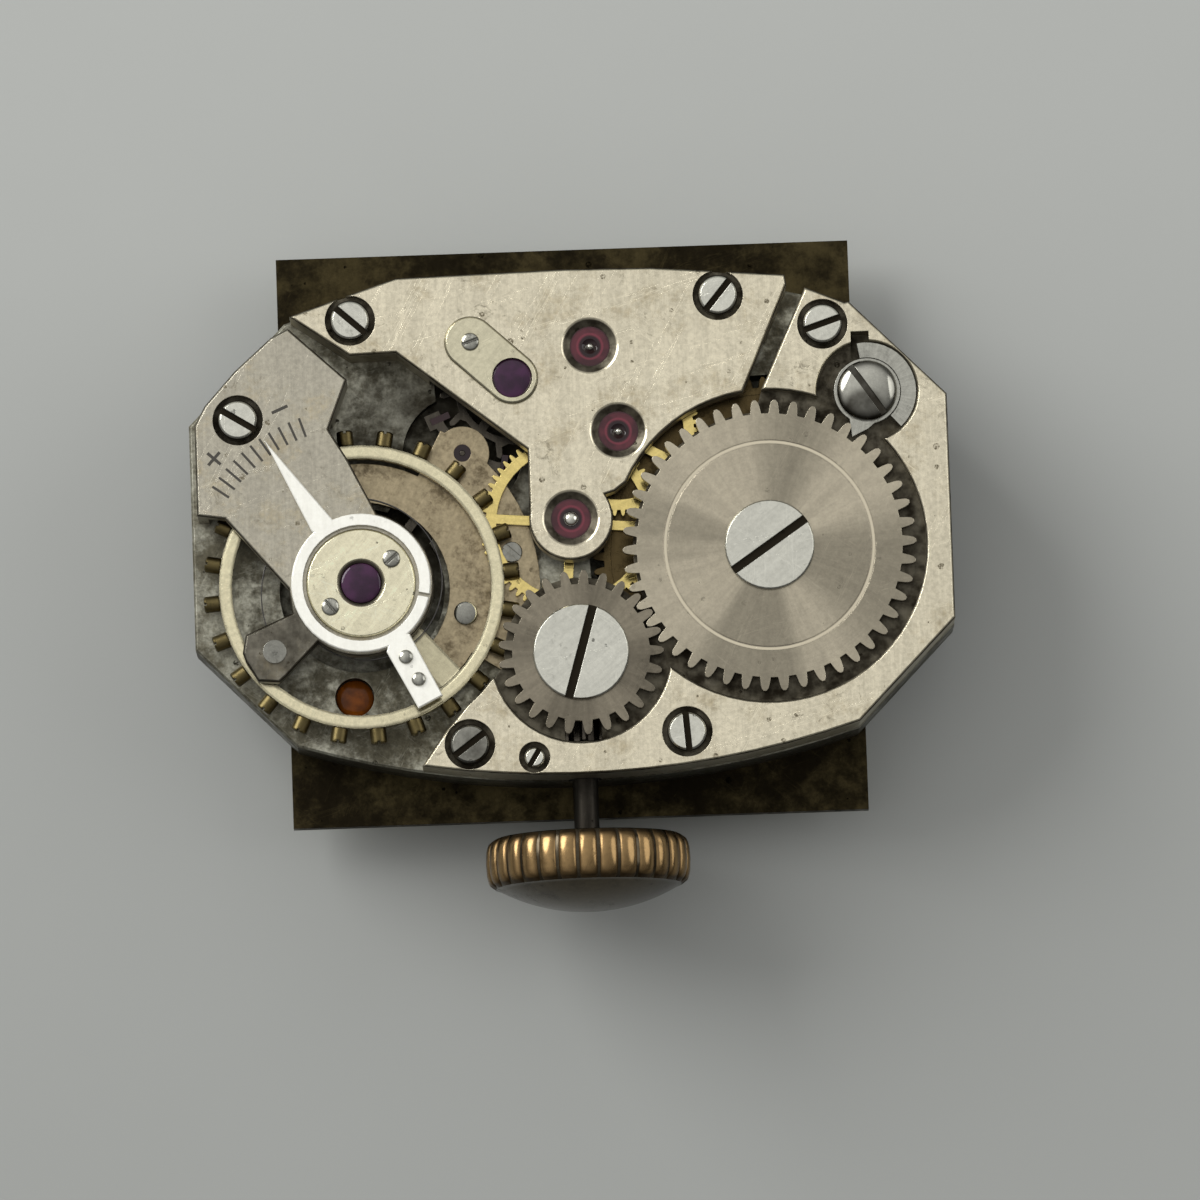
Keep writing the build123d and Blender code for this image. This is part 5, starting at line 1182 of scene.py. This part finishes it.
class MOVEMENT_OT_index_scale(Operator):
    """Engrave the regulator's scale on the cock"""

    bl_idname = "movement.index_scale"
    bl_label = "Regulator scale"

    def execute(self, context):
        sizes = context.scene.movement_sizes
        radius = 3.86 * MM
        first, last = math.radians(108.6), math.radians(144.7)
        rise = 0.012 * MM
        piece = scratch_object("tick", block_mesh("tick", (sizes.tick_length, sizes.tick_width, rise)))
        grown("index_ticks", copies_tree, {
            "Piece": piece, "Count": sizes.tick_count, "Radius": radius, "Start": first,
            "Step": (last - first) / (sizes.tick_count - 1), "Centre": (BALANCE.x, BALANCE.y, BRIDGE_TOP),
            "Material": finish("engraving")}, "root")
        bpy.data.objects.remove(piece)
        # A plus and a minus, at their angles and with their number of strokes
        sign_radius = 4.45 * MM
        length, width, step = 0.40 * MM, 0.07 * MM, 0.002 * MM
        strokes = []
        for angle, count in ((137.5, 2), (113.0, 1)):
            place = standing(BALANCE, BRIDGE_TOP, angle) @ Matrix.Translation((sign_radius, 0, 0))
            for stroke in range(count):
                turned = place @ Matrix.Rotation((stroke + 1) * math.pi / 2, 4, "Z")
                strokes.append(block_mesh("stroke", (length, width, rise + step * stroke), turned))
        mesh = joined_mesh("index_signs", *strokes)
        new_object("index_signs", mesh, finish("engraving"), "root")
        return {"FINISHED"}


class MOVEMENT_OT_click_screw(Operator):
    """Make the click's domed and slotted screw"""

    bl_idname = "movement.click_screw"
    bl_label = "Click screw"

    def execute(self, context):
        high = top("click_screw")
        crest = high + 0.11 * MM
        head_low = top("click") + 0.02 * MM
        outline = screw_profile(radius_of("click_screw"), head_low, high - 0.06 * MM, 0.29 * MM,
                                bottom("click_screw"), 0.17 * MM)
        screw("click_screw_dome", CLICK, outline, (2.0 * MM, 0.15 * MM, 0.34 * MM),
              standing(CLICK, crest, -56.0), finish("black polish", crest), "click_screw", 64)
        return {"FINISHED"}


class MOVEMENT_OT_cap_screws(Operator):
    """Make the slotted, slightly domed screws of the cap plates"""

    bl_idname = "movement.cap_screws"
    bl_label = "Cap screws"

    def execute(self, context):
        rise = 0.05 * MM
        slot_turns = (-52.0, 41.0, 20.0)
        for number, (place, turn) in enumerate(zip(centres("cap_screws"), slot_turns)):
            high = place.z - rise
            outline = screw_profile(0.205 * MM, high - 0.05 * MM, high, 0.12 * MM, bottom("cap_screws"), rise)
            screw("cap_screw_%d" % (number + 1), place, outline, (1.0 * MM, 0.06 * MM, 0.11 * MM),
                  standing(place, place.z, turn), finish("cap steel", place.z), "cap_screws")
        return {"FINISHED"}


class MOVEMENT_OT_regulator_rivets(Operator):
    """Make the domed heads of the curb pins on the regulator's tail"""

    bl_idname = "movement.regulator_rivets"
    bl_label = "Regulator rivets"

    def execute(self, context):
        outline = dome(0.165 * MM, top("regulator") - 0.02 * MM, top("curb_pins"), 0.07 * MM)
        for number, place in enumerate(centres("curb_pins")):
            round_piece("curb_rivet_%d" % (number + 1), place, outline, finish("cap steel"), "regulator",
                        32)
        return {"FINISHED"}


class MOVEMENT_OT_dial_front(Operator):
    """Make the dial's front, with its raised hour marks and minute track"""

    bl_idname = "movement.dial_front"
    bl_label = "Dial front"

    def execute(self, context):
        margin = 0.12 * MM
        half = radius_of("dial") - margin
        farthest = half * 1.36
        hole = 1.02 * MM
        depth = 0.03 * MM
        count = 96
        angles = [2 * math.pi * (step + 0.5) / count for step in range(count)]
        inner = [hole] * count
        outer = [min(farthest, half / max(abs(math.cos(angle)), abs(math.sin(angle)))) for angle in angles]
        front = bmesh.new()
        rings = []
        for reaches, level in ((inner, 0.0), (outer, 0.0), (outer, -depth), (inner, -depth)):
            rings.append([front.verts.new((reach * math.cos(angle), reach * math.sin(angle), level))
                          for reach, angle in zip(reaches, angles)])
        for first, second in zip(rings, rings[1:] + rings[:1]):
            loft(front, first, second)
        bmesh.ops.recalc_face_normals(front, faces=front.faces)
        new_object("dial_enamel", plain_mesh("dial_enamel", front), finish("enamel"), "root")
        # Name, size, number, distance of the middles, bevel, finish and slot of the marks
        dial_marks = (("hour_marks", (1.15 * MM, 0.26 * MM, 0.10 * MM), 12, half - 1.35 * MM, 0.03 * MM,
                       "rose", "rose_gold"),
                      ("minute_track", (0.28 * MM, 0.05 * MM, 0.012 * MM), 60, half - 0.42 * MM, 0.0,
                       "ink", "dial_brass"))
        for name, size, count, reach, bevel, skin, slot in dial_marks:
            blank = scratch_object(name + "_blank", block_mesh(name, size))
            if bevel:
                soft = blank.modifiers.new("bevel", "BEVEL")
                soft.width = bevel
                soft.segments = 2
            piece = scratch_object(name + "_piece", plain_copy(blank, name + "_piece"))
            bpy.data.objects.remove(blank)
            grown(name, copies_tree, {
                "Piece": piece, "Count": count, "Radius": reach, "Start": 0.0, "Step": 2 * math.pi / count,
                "Squareness": 1.0, "Centre": (0.0, 0.0, -depth - size[2] / 2), "Material": finish(skin)},
                "root")
            bpy.data.objects.remove(piece)
        return {"FINISHED"}


class MOVEMENT_OT_plate_details(Operator):
    """Make the small things seen on the plate under the balance"""

    bl_idname = "movement.plate_details"
    bl_label = "Plate details"

    def execute(self, context):
        # The amber stone in the plate, by its shares of the plate's half length and half width
        half_length, half_width = 8.74 * MM, 5.92 * MM
        place = Vector((-0.585 * half_length, -0.645 * half_width, 0))
        floor = 1.50 * MM
        outline = dome(0.43 * MM, floor, floor + 0.10 * MM, 0.08 * MM)
        round_piece("plate_stone", place, outline, finish("amber"), "root")
        # The domed head on the crescent
        head = min(centres("small_plate_screws"), key=lambda spot: (spot - BALANCE).xy.length)
        low = top("pallet_bridge")
        outline = dome(0.27 * MM, low, low + 0.085 * MM, 0.05 * MM)
        round_piece("crescent_pin", head, outline, finish("grey steel"), "root")
        return {"FINISHED"}


class MOVEMENT_OT_stage(Operator):
    """Lay the floor and set the lamps, the world and the camera"""

    bl_idname = "movement.stage"
    bl_label = "Stage"

    def execute(self, context):
        scene = context.scene
        sizes = scene.movement_sizes
        form = bmesh.new()
        clearance = 0.01 * MM
        bmesh.ops.create_grid(form, x_segments=1, y_segments=1, size=1.2)
        bmesh.ops.translate(form, vec=(0, 0, cad_box[0][2] - clearance), verts=form.verts)
        mesh = plain_mesh("floor", form)
        floor = scratch_object("floor", mesh)
        paint(mesh, finish("floor"))
        # Name, place, diameter and power of each lamp, which faces the origin
        for name, place, size, power in (("key", (-0.24, 0.17, 0.19), 0.26, 1.0),
                                         ("fill", (0.26, 0.06, 0.16), 0.24, 0.22)):
            lamp = bpy.data.lights.new(name, "AREA")
            lamp.shape = "DISK"
            lamp.size = size
            lamp.energy = power
            holder = scratch_object(name, lamp)
            holder.location = place
            holder.rotation_euler = (-Vector(place)).to_track_quat("-Z", "Y").to_euler()
        # The world is lighter overhead and towards the upper left of the view
        world = bpy.data.worlds.new("studio")
        scene.world = world
        world.use_nodes = True
        work = Nodes(world.node_tree)
        split = work.split(work.add("ShaderNodeTexCoord").outputs["Generated"])
        height = work.mapped(split["Z"], 0.05, 0.95, 0.22, 0.86)
        slant = work.plus(work.times(split["Y"], 0.8), work.times(split["X"], -0.6))
        shade = work.times(height, work.mapped(slant, -0.6, 0.6, 0.42, 1.12))
        work.wire(world.node_tree.nodes["Background"],
                  {"Color": work.joined(shade, shade, shade), "Strength": 1.0})
        # The camera stands a little to the crown's side, turned two degrees, and aims at the bridges' level
        roll = math.radians(2.0)
        lean = math.radians(83.0)
        right = Vector((math.cos(roll), -math.sin(roll), 0))
        forward = Vector((math.sin(roll) * math.cos(lean), math.cos(roll) * math.cos(lean), -math.sin(lean)))
        upward = right.cross(forward)
        aim = Vector((0.598 * MM, -1.915 * MM, BRIDGE_TOP))
        camera = bpy.data.cameras.new("camera")
        camera.lens = camera.sensor_width * sizes.camera_distance / sizes.view_width
        camera.clip_start = 0.005
        camera.clip_end = 5.0
        holder = scratch_object("camera", camera)
        turn = Matrix((right, upward, -forward)).transposed().to_4x4()
        holder.matrix_world = Matrix.Translation(aim - forward * sizes.camera_distance) @ turn
        scene.camera = holder
        scene.view_settings.view_transform = "Standard"
        return {"FINISHED"}


class MOVEMENT_PT_panel(Panel):
    """The movement's pieces, in the order in which they are made"""

    bl_idname = "MOVEMENT_PT_panel"
    bl_label = "Movement"
    bl_space_type = "VIEW_3D"
    bl_region_type = "UI"
    bl_category = "Movement"

    def draw(self, context):
        for operator in operators:
            self.layout.operator(operator.bl_idname)
        for settings in (context.scene.movement_sizes, context.scene.movement_colours):
            box = self.layout.box()
            for name in settings.__annotations__:
                box.prop(settings, name)


operators = (
    MOVEMENT_OT_stage, MOVEMENT_OT_plates, MOVEMENT_OT_train, MOVEMENT_OT_steelwork, MOVEMENT_OT_jewels,
    MOVEMENT_OT_pivots, MOVEMENT_OT_crown, MOVEMENT_OT_hairspring, MOVEMENT_OT_rim_screws,
    MOVEMENT_OT_index_scale, MOVEMENT_OT_click_screw, MOVEMENT_OT_cap_screws, MOVEMENT_OT_regulator_rivets,
    MOVEMENT_OT_dial_front, MOVEMENT_OT_plate_details)
classes = (MovementSizes, MovementColours) + operators + (MOVEMENT_PT_panel,)


def register():
    for item in classes:
        bpy.utils.register_class(item)
    bpy.types.Scene.movement_sizes = PointerProperty(type=MovementSizes)
    bpy.types.Scene.movement_colours = PointerProperty(type=MovementColours)


def unregister():
    del bpy.types.Scene.movement_sizes
    del bpy.types.Scene.movement_colours
    for item in reversed(classes):
        bpy.utils.unregister_class(item)


def main():
    register()
    for operator in operators:
        group, name = operator.bl_idname.split(".")
        getattr(getattr(bpy.ops, group), name)()


if __name__ == "__main__":
    main()
